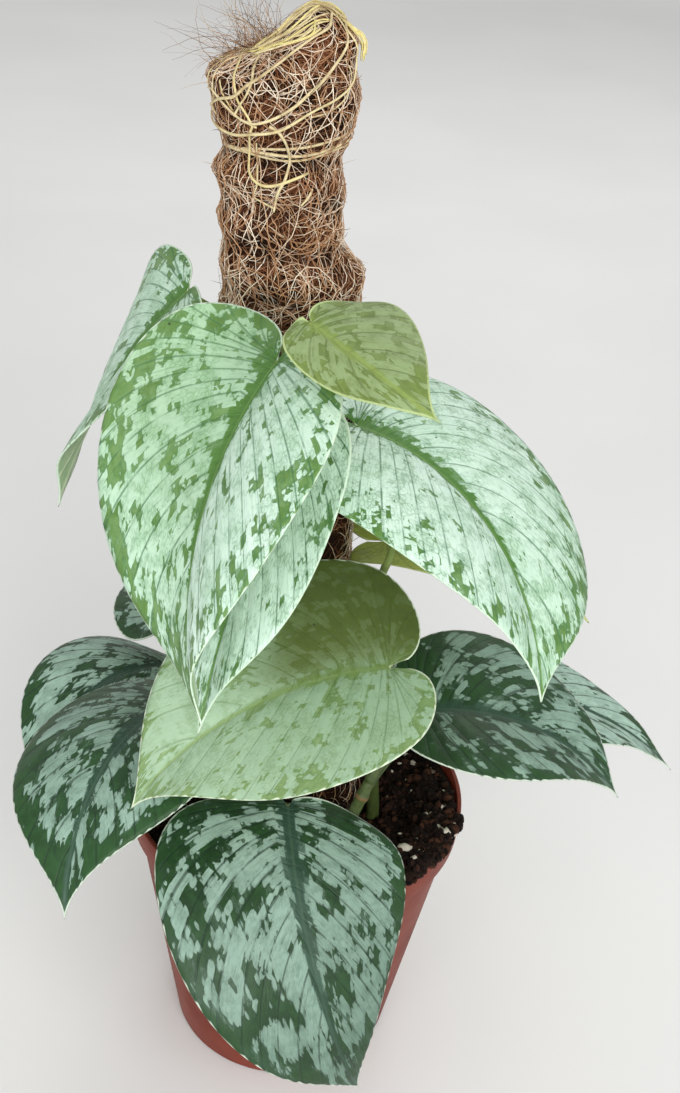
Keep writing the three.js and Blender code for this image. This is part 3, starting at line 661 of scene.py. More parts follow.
LEAVES = {
    "leaf_front_large": leaf(
        (-15, -60, 349), -136, -44, -21, 125, (46, 47), 53, "mint", "stem_front", 325, (0.73, 0.85, 0, 0.35), lobe=9,
        sweep=-6, twist=-20, fold=(9, 24), curl=(49, -32), wide=0.24, full=0.56, via=[(-18, -35, 347)],
        whiter=(-0.5, 0.5, 0), shaded=(1, 62, 0.28)),
    # Its silver is at its whitest: in part painted light, making up for the shade of the large front leaf.
    "leaf_front_second": leaf(
        (-10, -50, 331), -115, -57, -22, 118, (38, 38), 15, "mint", "stem_front", 290, (0.9, 1, 0, 0.45), lobe=4,
        sweep=9, twist=-2, fold=(10, 10), curl=(13, 13), via=[(-12, -36, 311)]),
    "leaf_top_young": leaf(
        (-5, -79, 371), -51, -5, -24, 55, (24, 13), 18, "olive", "stem_front", 327, (0.6, 0.4, 0, 0.4), lobe=4,
        sweep=-9, twist=-12, fold=(-5, -5), via=[(8, -50, 345), (10, -70, 356)]),
    "leaf_right_large": leaf(
        (11, -37, 317), -22, -4, 17, 118, (48, 44), 65, "mint", "stem_right", 206, (0.82, 0.85, 0, 0.45), sweep=31,
        twist=25, fold=(40, 2), curl=(38, 59), full=0.76, taper=0.17,
        via=[(21, -24, 228), (24, -31, 250), (28, -33, 268), (24, -37, 290)], whiter=(0.15, -0.65, 0)),
    "leaf_centre": leaf(
        (30, -68, 241), -168, -3, 20, 113, (42, 45), 60, "cream", "stem_right_low", 192, (0.72, 0.5, 0, 0.5), lobe=11,
        sweep=-23, twist=16, fold=(17, 17), curl=(20, 19), full=0.49, via=[(38, -46, 215)], shaded=(1, 46, 1)),
    "leaf_left_back": leaf(
        (-53, 33, 156), -147, 33, -16, 98, (34, 38), 111, "dark", "stem_left_low", 136, (0.62, 0.75, 0, 0.4), sweep=4,
        twist=35, fold=(6, 6), curl=(17, 17)),
    "leaf_left_front": leaf(
        (-51, -22, 181), -126, 8, -26, 101, (41, 42), 70, "dark", "stem_left_low", 148, (0.56, 0.36, 0, 0.3), lobe=14,
        sweep=-9, twist=11, fold=(-4, 17), curl=(31, 22), wide=0.23, full=0.56),
    "leaf_over_rim": leaf(
        (-2, -48, 157), -84, 0, -19, 134, (44, 52), 116, "dark", "stem_right_low", 126, (0.61, 0.5, 0.17, 0.3),
        lobe=4, sweep=2, twist=10, fold=(-23, 24), curl=(17, 4), wide=0.23, whiter=(0.3, -1, 0.5)),
    "leaf_right_low": leaf(
        (46, -20, 186), 6, 8, -8, 97, (40, 36), 61, "dark", "stem_right_low", 160, (0.6, 0.4, 0.22, 0.4), lobe=8,
        sweep=22, twist=2, fold=(17, 16), curl=(20, 21), full=0.5, shaded=(0, 40, 0.4)),
    "leaf_right_far": leaf(
        (69, 24, 166), 3, 4, 3, 102, (32, 32), 50, "dark", "stem_right_low", 146, (0.75, 1, 0, 0.4), sweep=3, twist=1,
        fold=(10, 10), curl=(13, 13), via=[(44, -4, 158)]),
    "leaf_left_high": leaf(
        (-51, 0, 344), -170, -47, 11, 98, (36, 41), 28, "mint", "stem_back", 322, (0.76, 0.7, 0, 0.25), lobe=5,
        sweep=-9, twist=-41, fold=(10, 10), curl=(17, 17)),
    "leaf_left_small": leaf(
        (-59, 34, 183), 92, 9, 18, 88, (28, 32), 43, "dark", "stem_left_low", 159, (0.72, 0.6, 0.15, 0.4), lobe=11,
        sweep=3, twist=6, fold=(7, 7), curl=(19, 19), via=[(-37, 2, 174), (-48, 18, 180)]),
    "leaf_right_inner": leaf(
        (27, 3.5, 247.5), 4, 9, 1, 91, (33, 33), 57, "inner", "stem_right", 224, (0.4, 0, 0, 0.6), lobe=12, sweep=9,
        twist=-14, fold=(12, 12), curl=(-1, -1)),
    "leaf_back_high": leaf(
        (-30, 37, 274), 110, 9, -4, 111, (39, 38), 42, "mint", "stem_back", 248, (0.7, 0.4, 0, 0.5), sweep=6,
        twist=-5),
    "leaf_back_right": leaf(
        (16, 34, 283), 62, -9, -11, 108, (38, 38), 37, "mint", "stem_back", 262, (0.74, 0.5, 0, 0.5), sweep=8,
        twist=6),
    "leaf_back_centre": leaf(
        (-9, 42, 243), 94, -4, 5, 115, (40, 42), 29, "dark", "stem_back", 214, (0.58, 0.6, 0, 0.4), sweep=1,
        twist=-2),
    "leaf_back_low": leaf(
        (19, 40, 161), 73, -18, -8, 106, (37, 37), 29, "dark", "stem_back", 138, (0.56, 0.6, 0, 0.4), sweep=-5,
        twist=6),
    "leaf_back_left": leaf(
        (-22, 47, 179), 112, -8, 11, 104, (37, 38), 41, "dark", "stem_back", 152, (0.6, 0.65, 0, 0.4), sweep=-6,
        twist=9),
}

THICK = 0.9
VEINS = 10.5  # between side veins, along the margin
FINE_VEINS = 4.4


def bezier(points, t):
    a, b, c, d = np.asarray(points, float)
    t = np.asarray(t)[..., None]
    return (1 - t) ** 3 * a + 3 * (1 - t) ** 2 * t * b + 3 * (1 - t) * t * t * c + t ** 3 * d


def margin(q, L, width):
    """The blade's outline on one side: q is 0 at the petiole, 1 at the widest place, 2 at the tip."""
    long, lobe, wide = L["long"], L["lobe"], L["wide"]
    widest = (width, wide * long)
    basal = [(0, 0), (0.02 * width, -2 * lobe), (width, -1.55 * lobe), widest]
    shoulder = (width, (wide + L["full"] * (1 - wide)) * long)
    apical = [widest, shoulder, (L["taper"] * width, 0.8 * long), (0, long)]
    q = np.asarray(q, float)
    return np.where((q < 1)[..., None], bezier(basal, np.clip(q, 0, 1)), bezier(apical, np.clip(q - 1, 0, 1)))


def vein_start(q, long):
    """How far up the midrib the vein to that place on the margin starts."""
    return long * np.clip((q - 0.78) / 1.22, 0, 1) ** 2.1


def on_vein(q, t, L, width):
    """Points of the flat blade along its veins, t from 0 at the midrib to 1 at the margin."""
    end = margin(q, L, width)
    start = vein_start(q, L["long"])
    root = np.stack([np.zeros_like(start), start], -1)
    bend = np.stack([0.72 * end[..., 0], start + 0.33 * (end[..., 1] - start)], -1)
    t = np.asarray(t)[..., None]
    return (1 - t) ** 2 * root + 2 * (1 - t) * t * bend + t * t * end


def midrib_frame(L, u):
    """The blade's directions along, right and up, at a share u of its length."""
    h, p, r = [math.radians(L[key]) for key in ("heading", "pitch", "roll")]
    along = np.array([math.cos(p) * math.cos(h), math.cos(p) * math.sin(h), math.sin(p)])
    flat = np.array([math.sin(h), -math.cos(h), 0.0])
    over = np.cross(flat, along)
    right = math.cos(r) * flat + math.sin(r) * over
    up = math.cos(r) * over - math.sin(r) * flat
    u = np.asarray(u, float)[..., None]
    a = np.radians(L["sweep"]) * u
    along, right = np.cos(a) * along + np.sin(a) * right, np.cos(a) * right - np.sin(a) * along
    a = np.radians(L["droop"]) * u
    along, up = np.cos(a) * along - np.sin(a) * up, np.cos(a) * up + np.sin(a) * along
    a = np.radians(L["twist"]) * u
    right, up = np.cos(a) * right + np.sin(a) * up, np.cos(a) * up - np.sin(a) * right
    return along, right, up


def on_midrib(L, y):
    """Points of the bent midrib; below its start it runs on straight."""
    y = np.asarray(y, float)
    u = np.maximum(0, y / L["long"])
    steps = (np.arange(16) + 0.5) / 16
    along, _, _ = midrib_frame(L, u[..., None] * steps)
    base, _, _ = midrib_frame(L, 0.0)
    return np.array(L["at"], float) + along.mean(-2) * (u * L["long"])[..., None] + np.minimum(0, y)[..., None] * base


def blade_side(L, s, wobble):
    """One half of a blade: its points above and below, and what the markings need to know there."""
    rows, columns = 80, 18
    side, width, long = (-1, 1)[s], L["half"][s], L["long"]
    Q, T = np.meshgrid(np.linspace(0.12, 2, rows + 1), np.linspace(0, 1, columns + 1) ** 0.85, indexing="ij")
    flat = on_vein(Q, T, L, width)
    x, y = flat[..., 0], flat[..., 1]
    u = np.clip(y / long, 0, 1)
    _, right, up = midrib_frame(L, u)
    ratio = x / (sum(L["half"]) / 2)
    rise = np.radians(L["fold"][s] - 0.5 * L["curl"][s] * ratio)
    slope = np.where(x < 1e-6, 0, np.radians(L["fold"][s] - L["curl"][s] * ratio))
    place = on_midrib(L, y) + (side * x * np.cos(rise))[..., None] * right + (x * np.sin(rise))[..., None] * up
    face = unit(np.cos(slope)[..., None] * up - side * np.sin(slope)[..., None] * right)
    wave = 1.0 * T ** 3 * np.sin(9 * Q + side) * np.minimum(1, 3 * (2 - Q))
    stops = np.linspace(0, 2, 400)
    outline = margin(stops, L, width)
    arc = np.concatenate([[0], np.cumsum(np.linalg.norm(np.diff(outline, axis=0), axis=1))])
    arc = np.interp(Q, stops, arc)
    start = np.stack([np.zeros_like(Q), vein_start(Q, long)], -1)
    reach = np.linalg.norm(margin(Q, L, width) - start, axis=-1)
    edge = np.min(np.linalg.norm(flat[:, :, None] - outline[None, None, ::3], axis=-1), axis=-1)
    mid = np.hypot(x, np.minimum(y, 0))
    # Millimetres between two veins here for each millimetre between their ends on the margin.
    down, out = np.gradient(flat, axis=0), unit(np.gradient(flat, axis=1))
    spread = np.abs(down[..., 0] * out[..., 1] - down[..., 1] * out[..., 0]) / np.gradient(arc, axis=0)
    spread = np.clip(spread, 0.04, 1.2)
    # Side veins are sunk a little and the blade swells between them.
    phase = arc / VEINS + 0.22 * np.sin(arc / 17 + wobble[s]) + 0.1 * np.sin(arc / 6 + wobble[s + 2])
    off = np.abs(phase - np.round(phase)) * VEINS * spread
    inner = np.minimum(1, edge / 8) * np.minimum(1, mid / 6)
    swell = 0.34 * np.minimum(1, off / 2.6) * inner
    groove = 0.45 * np.exp(-(mid / 1.1) ** 2) * (1 - 0.7 * u)
    ridge = 1.0 * np.exp(-(mid / 1.4) ** 2) * (1 - 0.85 * u) + 0.2 * np.exp(-(off / 0.8) ** 2) * inner
    half_thick = 0.5 * mix(0.5, THICK, np.minimum(1, edge / 6))
    return {"upper": place + face * (wave + half_thick + swell - groove)[..., None],
            "lower": place + face * (wave - half_thick + swell - ridge)[..., None],
            "flat": np.stack([side * x, y, np.zeros_like(x)], -1), "arc": arc, "reach": reach * T,
            "edge": edge, "mid": mid, "along": u, "phase": phase, "spread": spread, "q": Q}


def make_blade(name, L, number, material, slot):
    """A closed blade of two halves, with what its markings need as values on its points."""
    wobble = np.random.default_rng(101 + number).uniform(0, TURN, 4)
    halves = [blade_side(L, s, wobble) for s in (0, 1)]
    labels = [key for key in halves[0] if key != "q"]
    shape = halves[0]["q"].shape
    ids, data = {}, {key: [] for key in labels}
    index = np.zeros((2, *shape), int)
    for s, i, j in np.ndindex(index.shape):
        # The two halves share the midrib's points; below its start, one point.
        shared = j == 0 or i == shape[0] - 1
        key = round(float(vein_start(halves[s]["q"][i, j], L["long"])), 3) if shared else (s, i, j)
        if key not in ids:
            ids[key] = len(ids)
            for label in labels:
                data[label].append(halves[s][label][i, j])
        index[s, i, j] = ids[key]
    faces = []
    for s in (0, 1):
        a, b = index[s, :-1, :-1], index[s, :-1, 1:]
        c, d = index[s, 1:, 1:], index[s, 1:, :-1]
        pairs = [(a, b, c), (a, c, d)] if s == 1 else [(a, c, b), (a, d, c)]
        faces += [np.stack(trio, -1).reshape(-1, 3) for trio in pairs]
    faces = np.concatenate(faces)
    faces = faces[(faces[:, 0] != faces[:, 1]) & (faces[:, 1] != faces[:, 2]) & (faces[:, 0] != faces[:, 2])]
    count = len(ids)
    edges = np.concatenate([faces[:, [0, 1]], faces[:, [1, 2]], faces[:, [2, 0]]])
    known = {(a, b) for a, b in edges.tolist()}
    rim = [(a, b) for a, b in edges.tolist() if (b, a) not in known]
    wall = [[b, a, count + a] for a, b in rim] + [[b, count + a, count + b] for a, b in rim]
    triangles = np.vstack([faces, faces[:, ::-1] + count, wall])
    points = np.vstack([data["upper"], data["lower"]])
    values = {key: np.concatenate([data[key], data[key]]) for key in labels if key not in ("upper", "lower")}
    values["flat"][:, 2] = 13.7 * (1 + number)  # sets its markings apart from the other blades'
    values["under"] = np.concatenate([np.zeros(count), np.ones(count)])
    cover, pale, deep, netted = L["marks"]
    right, tip, painted_shade = L["whiter"]
    # Painted shade: a half that lies in another leaf's shade is painted darker at its base, and has less silver there.
    side, length, strength = L["shaded"]
    x, y = values["flat"][:, 0] * side, values["flat"][:, 1]
    lobe = strength * (smooth(-6, 9, x) if side else 0.8) * (1 - smooth(length - 14, length + 14, y + 0.4 * x))
    values["cover"] = cover - 0.25 * lobe
    # Painted light: the silver is painted whiter or less white on the right half and towards the tip, in part the
    # leaf's own paler tip.
    paler = right * smooth(-4, 4, values["flat"][:, 0]) + tip * (values["along"] - 0.35)
    values["pale"] = np.clip(pale + paler, 0, 1)
    values["netted"] = np.full(2 * count, netted)
    # Painted shade: the blade is darkened towards the shade colours, on a shaded half's base and towards a darkened
    # tip.
    values["deep"] = np.maximum(deep + painted_shade * values["along"], lobe)
    return add_piece(name + "_blade", points, triangles, values, node=name, slot=slot, material=material)


def leaf_look(name, silver, green, midrib, crease, vein, edge_colour, under, patch, zone, band, lines, shade):
    """Silver markings laid along the veins, over green that keeps to the midrib and the margin."""
    look = Look(name, roughness=0.5, specular=0.3, Sheen_Weight=0.04, Sheen_Roughness=0.4)
    flat = look.value("flat", "Vector")
    arc, reach, spread = look.value("arc"), look.value("reach"), look.value("spread")
    along, mid, edge = look.value("along"), look.value("mid"), look.value("edge")
    x, _, seed = flat.split()
    half = x.math("SIGN") * 17.0 + seed
    # Lanes run along the veins; there are half as many where the veins draw together.
    lane_width, lane_shift, across, length, block, uneven = patch
    stir = look.noise(flat.scaled(0.2, 0.2, 1)).step(0.3, 0.7, 0.75, 1.35)
    level = (spread * stir).math("LOGARITHM", 2.0).math("FLOOR").math("MAXIMUM", -4.0)
    level = look.wire("ShaderNodeMath", {0: 2.0, 1: level}, operation="POWER")
    sway = (look.noise(flat.scaled(0.09, 0.09, 1), detail=3) - 0.5) * 3.5
    swayed = (arc + sway) * level
    lane = (swayed / lane_width).math("FLOOR")
    luck = look.wire("ShaderNodeTexWhiteNoise", {"Vector": look.triple(lane, level, half)})
    middle = (lane + 0.5) * lane_width
    aside = (swayed - middle) / lane_width
    shifted = (luck - 0.5) * lane_shift + reach
    streaks = look.noise(look.triple(middle / level / across, shifted / length, half), 1.0, 2, 0.55)
    blocks = look.noise(flat.shifted(31, 17, 5).scaled(1 / block, 1 / block, 1))
    own = look.noise(look.triple(lane * 7.3, reach / 2.4, half), 1.0, 1)
    # The last term rounds the ends of the fingers.
    amount = streaks * 0.6 + blocks * 0.4 + (own - 0.5) * uneven - (aside * aside * 0.1 - 0.008)
    # Side veins and finer ones between them.
    off = look.value("phase").to_line() * (spread * VEINS)
    fine = (swayed / FINE_VEINS).to_line() * (spread * FINE_VEINS) / level
    broken = look.noise(look.triple(arc / 5.0, reach / 6.0, half))
    side_vein = off.step(lines[0] + 0.22, lines[0] * 0.5) * broken.step(0.32, 0.54, 0.3, 1)
    fine_vein = fine.step(0.3, 0.06) * broken.step(0.46, 0.62)
    # Silver or green.
    depth, want, near_vein, tip = zone
    need = (look.value("cover") - 0.5) * -0.42 + 0.5
    need = need + edge.step(0.5, depth, want, 0.0) + off.step(2.4, 0.4, 0, near_vein)
    surplus = amount - (need + along.step(0.35, 0.9, 0, tip))
    silvered = surplus.step(-0.008, 0.012)
    wanted = along.step(0.0, 0.85, band[0], band[1]) * luck.step(0, 1, 0.6, 1.5)
    in_band = (mid - wanted).step(band[2], -band[2])
    # Colours.
    sage = look.noise(flat.shifted(7, 90, 3).scaled(0.17, 0.17, 1), 1.0, 3, 0.6)
    tint = look.noise(flat.scaled(0.035, 0.035, 1))
    grain = look.noise(look.triple(swayed / 0.62, reach / 5.0, half), 1.0, 3, 0.6)
    net = look.cells(look.triple(swayed / 1.3, reach / 2.0, half), feature="DISTANCE_TO_EDGE")
    net = net.step(0.13, 0.03) * sage.step(0.38, 0.6, 0.1, 1)
    white = look.value("pale")
    cloud = sage.step(0.42, 0.66, 0, 0.75) * (white * -0.55 + 1.0)
    pale = look.coats(silver[0], (white, silver[1]), (tint.step(0.35, 0.7, 0, 0.5), silver[2]), (cloud, silver[3]))
    # The green is darkest where it meets the silver.
    leafy = look.coats(green[0], (tint.step(0.35, 0.65), green[1]), (sage.step(0.4, 0.6, 0.6, 0), green[2]),
                       (edge.step(9, 2, 0, 0.5), green[3]), (surplus.step(-0.07, -0.01, 0, 0.4), vein))
    rib = look.blend(grain.step(0.3, 0.7), midrib[0], midrib[1])
    # Painted shade: the colours that shaded parts of the blade are blended towards.
    painted_shade = look.blend(amount.step(0.42, 0.6), shade[0], shade[1])
    # The specks are few: one cell in five has one.
    speck = look.cells(flat.scaled(0.1, 0.1, 1)).step(0.055, 0.03)
    speck = speck * look.cells(flat.scaled(0.1, 0.1, 1), "Color").split()[0].step(0.8, 0.82)
    colour = look.coats(leafy, (silvered, pale), (grain.step(0.42, 0.8, 0, lines[3]), crease),
                        (net * (look.value("netted") * lines[4]), vein), (fine_vein * lines[2], vein),
                        (side_vein * lines[1], vein), (in_band * band[3], rib),
                        (mid.step(0.8, 0.2, 0, 0.5), midrib[2]), (look.value("deep") * 0.85, painted_shade),
                        (speck * 0.8, "#26351d"), (edge.step(0.72, 0.38), edge_colour))
    # The under side is plain, with paler ribs.
    ribs = off.step(0.9, 0.4).math("MAXIMUM", mid.step(1.3, 0.9))
    plain = look.coats(under[0], (tint.step(0.3, 0.7), under[1]), (sage.step(0.45, 0.65, 0, 0.35), under[3]),
                       (net * 0.15, crease), (ribs * 0.8, under[2]), (edge.step(0.75, 0.4), edge_colour))
    colour = look.blend(look.value("under").step(0.4, 0.6), colour, plain)
    height = silvered * 0.3 + grain * 0.7 - net * 0.25 - fine_vein * 0.4 - side_vein * 0.8
    return look.finish(colour, height, 0.2, 0.7, silvered.step(0, 1, 0.44, 0.54))


# patch: lane width and shift, patch size over and along the veins, block size, unevenness. zone: depth of the
# margin's zone, its want of silver, the side veins' and the tip's. band: half width of the midrib's green at
# its base and its tip, softness, strength. lines: side veins' width and strength, fine ones', grain's, net's.
# shade: the two colours of the painted shade.
LOOKS = {
    "mint": dict(
        silver=("#a6cda2", "#e0f8ea", "#bbdfc2", "#93bd92"), green=("#5a7c38", "#6c914a", "#86a872", "#5a8236"),
        midrib=("#4b7a34", "#59873f", "#7fa65e"), crease="#6a9c74", vein="#3d7048", edge_colour="#d5ebd2",
        under=("#a5c596", "#b7d2a6", "#d9e8c6", "#8fb580"), patch=(1.5, 3.6, 4.3, 6.8, 6.5, 0.2),
        zone=(18, 0.1, 0.01, 0.03), band=(4.1, 0.7, 0.35, 1), lines=(0.2, 0.7, 0.25, 0.36, 0.85),
        shade=("#5c7a3c", "#7d9860")),
    "cream": dict(
        silver=("#98b592", "#a7c4a8", "#a9c6a6", "#8ca982"), green=("#7d9a64", "#8aa672", "#94b080", "#7a975c"),
        midrib=("#76934e", "#819d5a", "#91aa6f"), crease="#7a955f", vein="#5f7d44", edge_colour="#e0edd2",
        under=("#9fb378", "#aebf86", "#cad5a0", "#8fa468"), patch=(1.6, 4, 6, 9, 8, 0.18),
        zone=(9, 0.08, 0.01, 0), band=(1.8, 0.5, 0.9, 0.7), lines=(0.2, 0.38, 0.2, 0.25, 0.45),
        shade=("#454f16", "#515e1c")),
    "olive": dict(
        silver=("#8ba168", "#9cb184", "#95aa76", "#7d9158"), green=("#687d40", "#748a4c", "#80955a", "#7b9044"),
        midrib=("#7d9444", "#879d4c", "#94a95c"), crease="#6c7f45", vein="#5d7038", edge_colour="#b5c78a",
        under=("#93a052", "#9fab60", "#b7bf78", "#86944a"), patch=(1.4, 3, 5, 7, 6, 0.18),
        zone=(6, 0.04, 0.01, 0), band=(1.4, 0.5, 0.5, 0.8), lines=(0.2, 0.6, 0.3, 0.22, 0.3),
        shade=("#616f30", "#74823f")),
    "dark": dict(
        silver=("#7c9989", "#b4d4c2", "#a6c4b4", "#7a9885"), green=("#234323", "#2d522b", "#376037", "#284f20"),
        midrib=("#2c4a3a", "#385745", "#4f6b55"), crease="#24402f", vein="#1d3526", edge_colour="#cfdccb",
        under=("#86a67e", "#94b28e", "#b4c8a6", "#769870"), patch=(1.9, 4, 8, 10.5, 11, 0.17),
        zone=(11, 0.11, 0.025, 0), band=(3.6, 0.8, 0.35, 1), lines=(0.35, 0.7, 0.35, 0.34, 0.3),
        shade=("#1f331e", "#4a6254")),
    # Its bright lime colours are in part painted light, making up for the shade it lies in, and in part a young leaf's
    # own colour.
    "inner": dict(
        silver=("#bfcb6a", "#c9d576", "#c4d070", "#adb95c"), green=("#b1bf52", "#bbc85a", "#c1cd64", "#b3c154"),
        midrib=("#b9c658", "#c4d064", "#cdd778"), crease="#a0ac48", vein="#76833a", edge_colour="#c3cc86",
        under=("#93a052", "#9fab60", "#b7bf78", "#86944a"), patch=(1.4, 3, 5, 7, 6, 0.18),
        zone=(6, 0.04, 0.01, 0), band=(1.4, 0.5, 0.5, 0.8), lines=(0.2, 0.5, 0.3, 0.22, 0.3),
        shade=("#616f30", "#74823f")),
}
SLOTS = {"mint": "pale_leaf", "cream": "cream_leaf", "inner": "cream_leaf", "olive": "olive_leaf", "dark": "dark_leaf"}
leaf_materials = {kind: leaf_look(kind + " leaf", **row) for kind, row in LOOKS.items()}
for number, (name, L) in enumerate(LEAVES.items()):
    make_blade(name, L, number, leaf_materials[L["kind"]], SLOTS[L["kind"]])

# ---------------------------------------------------------------- stems and petioles

SOIL_TOP = 115  # height of the soil in the middle
STEM_OUT = 27.4  # how far a climbing stem is from the pole's line
STEMS = {
    "stem_front": dict(bearing=(266, 256), top=328, radius=(3, 2.1)),
    "stem_right": dict(bearing=(352, 346), top=238, radius=(3, 2.1)),
    "stem_back": dict(bearing=(88, 152), top=357, radius=(3.2, 1.9)),
    "stem_left_low": dict(points=[(-21, -17, 88), (-21, -17, 118), (-26, -15, 138), (-34, -7, 154), (-37, -2, 162)],
                          radius=(2.8, 2)),
    "stem_right_low": dict(points=[(17, -41, 88), (17, -41, 118), (22, -42, 144), (28, -40, 163), (34, -35, 182),
                                   (36, -31, 198)], radius=(2.8, 2)),
}


def stem_path(stem, steps=160):
    """A stem's line: through its own points, or up the pole from one bearing to another."""
    if "points" in stem:
        return catmull_rom(stem["points"], steps)
    free, top = SOIL_TOP + 3, stem["top"]
    heights = [SOIL_TOP - 27, free] + [mix(free, top, (i + 1) / 9) for i in range(9)]
    route = []
    for z in heights:
        t = max(0.0, (z - free) / (top - free))
        a = math.radians(mix(*stem["bearing"], t ** 1.4))
        route.append([pole_x(z) + STEM_OUT * math.cos(a), STEM_OUT * math.sin(a), z])
    route[0][0] = route[1][0]
    return catmull_rom(route, steps)


def petiole_path(L, stem_line):
    """From the stem out and up, and then square into the blade's foot from below."""
    root = stem_line[np.argmin(np.abs(stem_line[:, 2] - L["node"]))]
    _, right, up = midrib_frame(L, 0.0)
    tilt = math.radians((L["fold"][1] - L["fold"][0]) / 2)
    face = math.cos(tilt) * up - math.sin(tilt) * right
    end = np.array(L["at"], float) - face * (THICK / 2 + 0.35)
    near = end - face * 5
    outwards = unit(np.array([near[0] - root[0], near[1] - root[1], 0]))
    rise = root + 4 * outwards + np.array([0, 0, 6])
    route = [root, rise, *L["via"], near, end + face * 0.7]
    return catmull_rom(route, 44)


def stem_look():
    look = Look("stem", roughness=0.5, specular=0.4)
    tone, place = look.value("tone"), look.place()
    streak = look.noise(place.scaled(1.6, 1.6, 0.22), 1.0, 3, 0.6)
    mottle = look.noise(place, 0.35, 3)
    colour = look.coats("#35441f", (tone.step(0, 1), "#84974c"), (mottle.step(0.4, 0.7, 0, 0.35), "#5c6b34"),
                        (streak.step(0.45, 0.75) * (tone * 0.5), "#8f9a61"),
                        (look.value("along").step(0.5, 1, 0, 0.75), "#7d5b39"))
    return look.finish(colour, streak, 0.15, 0.5)


def make_stem(name, material):
    """A stem with its joints, its petioles and its clinging roots."""
    stem = STEMS[name]
    random = np.random.default_rng(len(name) * 13)
    line = stem_path(stem)
    parts = Parts()
    t = np.linspace(0, 1, len(line))
    radius = mix(stem["radius"][0], stem["radius"][1], t)
    joints = sorted({L["node"] for L in LEAVES.values() if L["stem"] == name})
    brown = 0.45 * np.exp(-t * 6)
    for z in joints:
        ring = np.exp(-((line[:, 2] - z + 2) / 1.6) ** 2)
        radius = radius + 0.5 * ring
        brown = np.maximum(brown, 0.9 * ring)
    radius[-3:] *= [0.9, 0.7, 0.35]
    parts.tube(line, radius, 14, along=brown, tone=0.1 + 0.2 * random.uniform())
    for L in [L for L in LEAVES.values() if L["stem"] == name]:
        path = petiole_path(L, line)
        s = np.linspace(0, 1, len(path))
        # A clasping sheath at the foot, and a slight knee under the blade.
        girth = mix(1.6, 1.1, s) + 0.55 * np.exp(-((s - 0.08) / 0.1) ** 2) + 0.3 * np.exp(-((s - 0.9) / 0.05) ** 2)
        brown = 0.6 * np.exp(-s * 22) + 0.3 * np.exp(-((s - 0.22) / 0.03) ** 2)
        # Painted shade: petioles are painted darker low down, near the soil.
        low = smooth(215, 150, path[:, 2])
        parts.tube(path, girth, 12, along=brown, tone=mix(0.45, 1.0, s) * (1 - 0.85 * low))
    if "bearing" in stem:
        # Short clinging roots reach from the joints to the coir.
        for z in range(140, int(stem["top"]) - 4, 16):
            root = line[np.argmin(np.abs(line[:, 2] - z))]
            for _ in range(3):
                aim = np.array([pole_x(z), 0, z]) + random.normal(0, 9, 3)
                way = unit(aim - root)
                end = root + way * random.uniform(5, 8)
                bend = root + way * 3 + random.normal(0, 0.8, 3)
                path = catmull_rom([root, bend, end], 8)
                parts.tube(path, np.linspace(0.55, 0.3, 9), 5, along=1.0, tone=0.2)
    return parts.piece(name + "_fine", node=name, slot="green_stem", material=material)


stem_material = stem_look()
for name in STEMS:
    make_stem(name, stem_material)

# ---------------------------------------------------------------- pot


def pot_look():
    look = Look("terracotta plastic", roughness=0.55, specular=0.35)
    place = look.place()
    cloud, speck = look.noise(place, 0.03, 4, 0.6), look.noise(place, 1.4)
    streak = look.noise(place.scaled(0.12, 0.12, 0.012), 1.0, 3)
    colour = look.coats("#803019", (cloud.step(0.3, 0.7), "#6d2410"), (streak.step(0.45, 0.75, 0, 0.18), "#86452f"),
                        (speck.step(0.62, 0.72, 0, 0.35), "#5e2a1c"))
    return look.finish(colour, cloud * 0.6 + speck * 0.3, 0.12, 0.5, cloud.step(0.3, 0.7, 0.5, 0.62))


def make_pot():
    """The pot, turned from a profile of radii and heights, with six drain holes."""
    profile = [(0, 0.6), (40, 0.6), (42, 0), (47, 0), (47.7, 0.4), (48, 1.2), (66.4, 111.5), (67.6, 112.4), (69, 113),
               (69.4, 113.8), (70, 123.5), (69.9, 124.6), (69.4, 125), (68.3, 125), (68, 124.6), (67.2, 114),
               (66.2, 112.8), (64.4, 110), (46.2, 3), (0, 3)]
    fine = []
    for (r0, z0), (r1, z1) in zip(profile, profile[1:]):
        steps = 8 if abs(z1 - z0) > 20 or abs(r1 - r0) > 20 else 1
        fine += [(mix(r0, r1, k / steps), mix(z0, z1, k / steps)) for k in range(steps)]
    fine.append(profile[-1])
    sides = 144
    a = TURN * np.arange(sides) / sides
    rings = np.array([polar(max(r, 0.01), a, z) for r, z in fine])
    triangles = grid_triangles(len(fine), sides, wrap=True)
    pot = add_piece("pot_shell", rings.reshape(-1, 3), triangles, node="pot", slot="pot_plastic", material=pot_look())
    weld = pot.modifiers.new("weld", "WELD")
    weld.merge_threshold = 0.00005
    drains = []
    for k in range(6):
        a, circle = TURN * (k + 0.5) / 6, 32 * MM
        place = (circle * math.cos(a), circle * math.sin(a), 0)
        bpy.ops.mesh.primitive_cylinder_add(vertices=32, radius=4 * MM, depth=20 * MM, location=place)
        drains.append(bpy.context.object)
        cut = pot.modifiers.new("drain", "BOOLEAN")
        cut.operation, cut.object, cut.solver = "DIFFERENCE", drains[-1], "EXACT"
    shaped = bpy.data.meshes.new_from_object(pot.evaluated_get(bpy.context.evaluated_depsgraph_get()))
    pot.modifiers.clear()
    pot.data = shaped
    for cutter in drains:
        bpy.data.objects.remove(cutter)
    pot.data.shade_smooth()
    edges = pot.modifiers.new("edges", "EDGE_SPLIT")
    edges.split_angle = math.radians(38)


make_pot()

# ---------------------------------------------------------------- soil

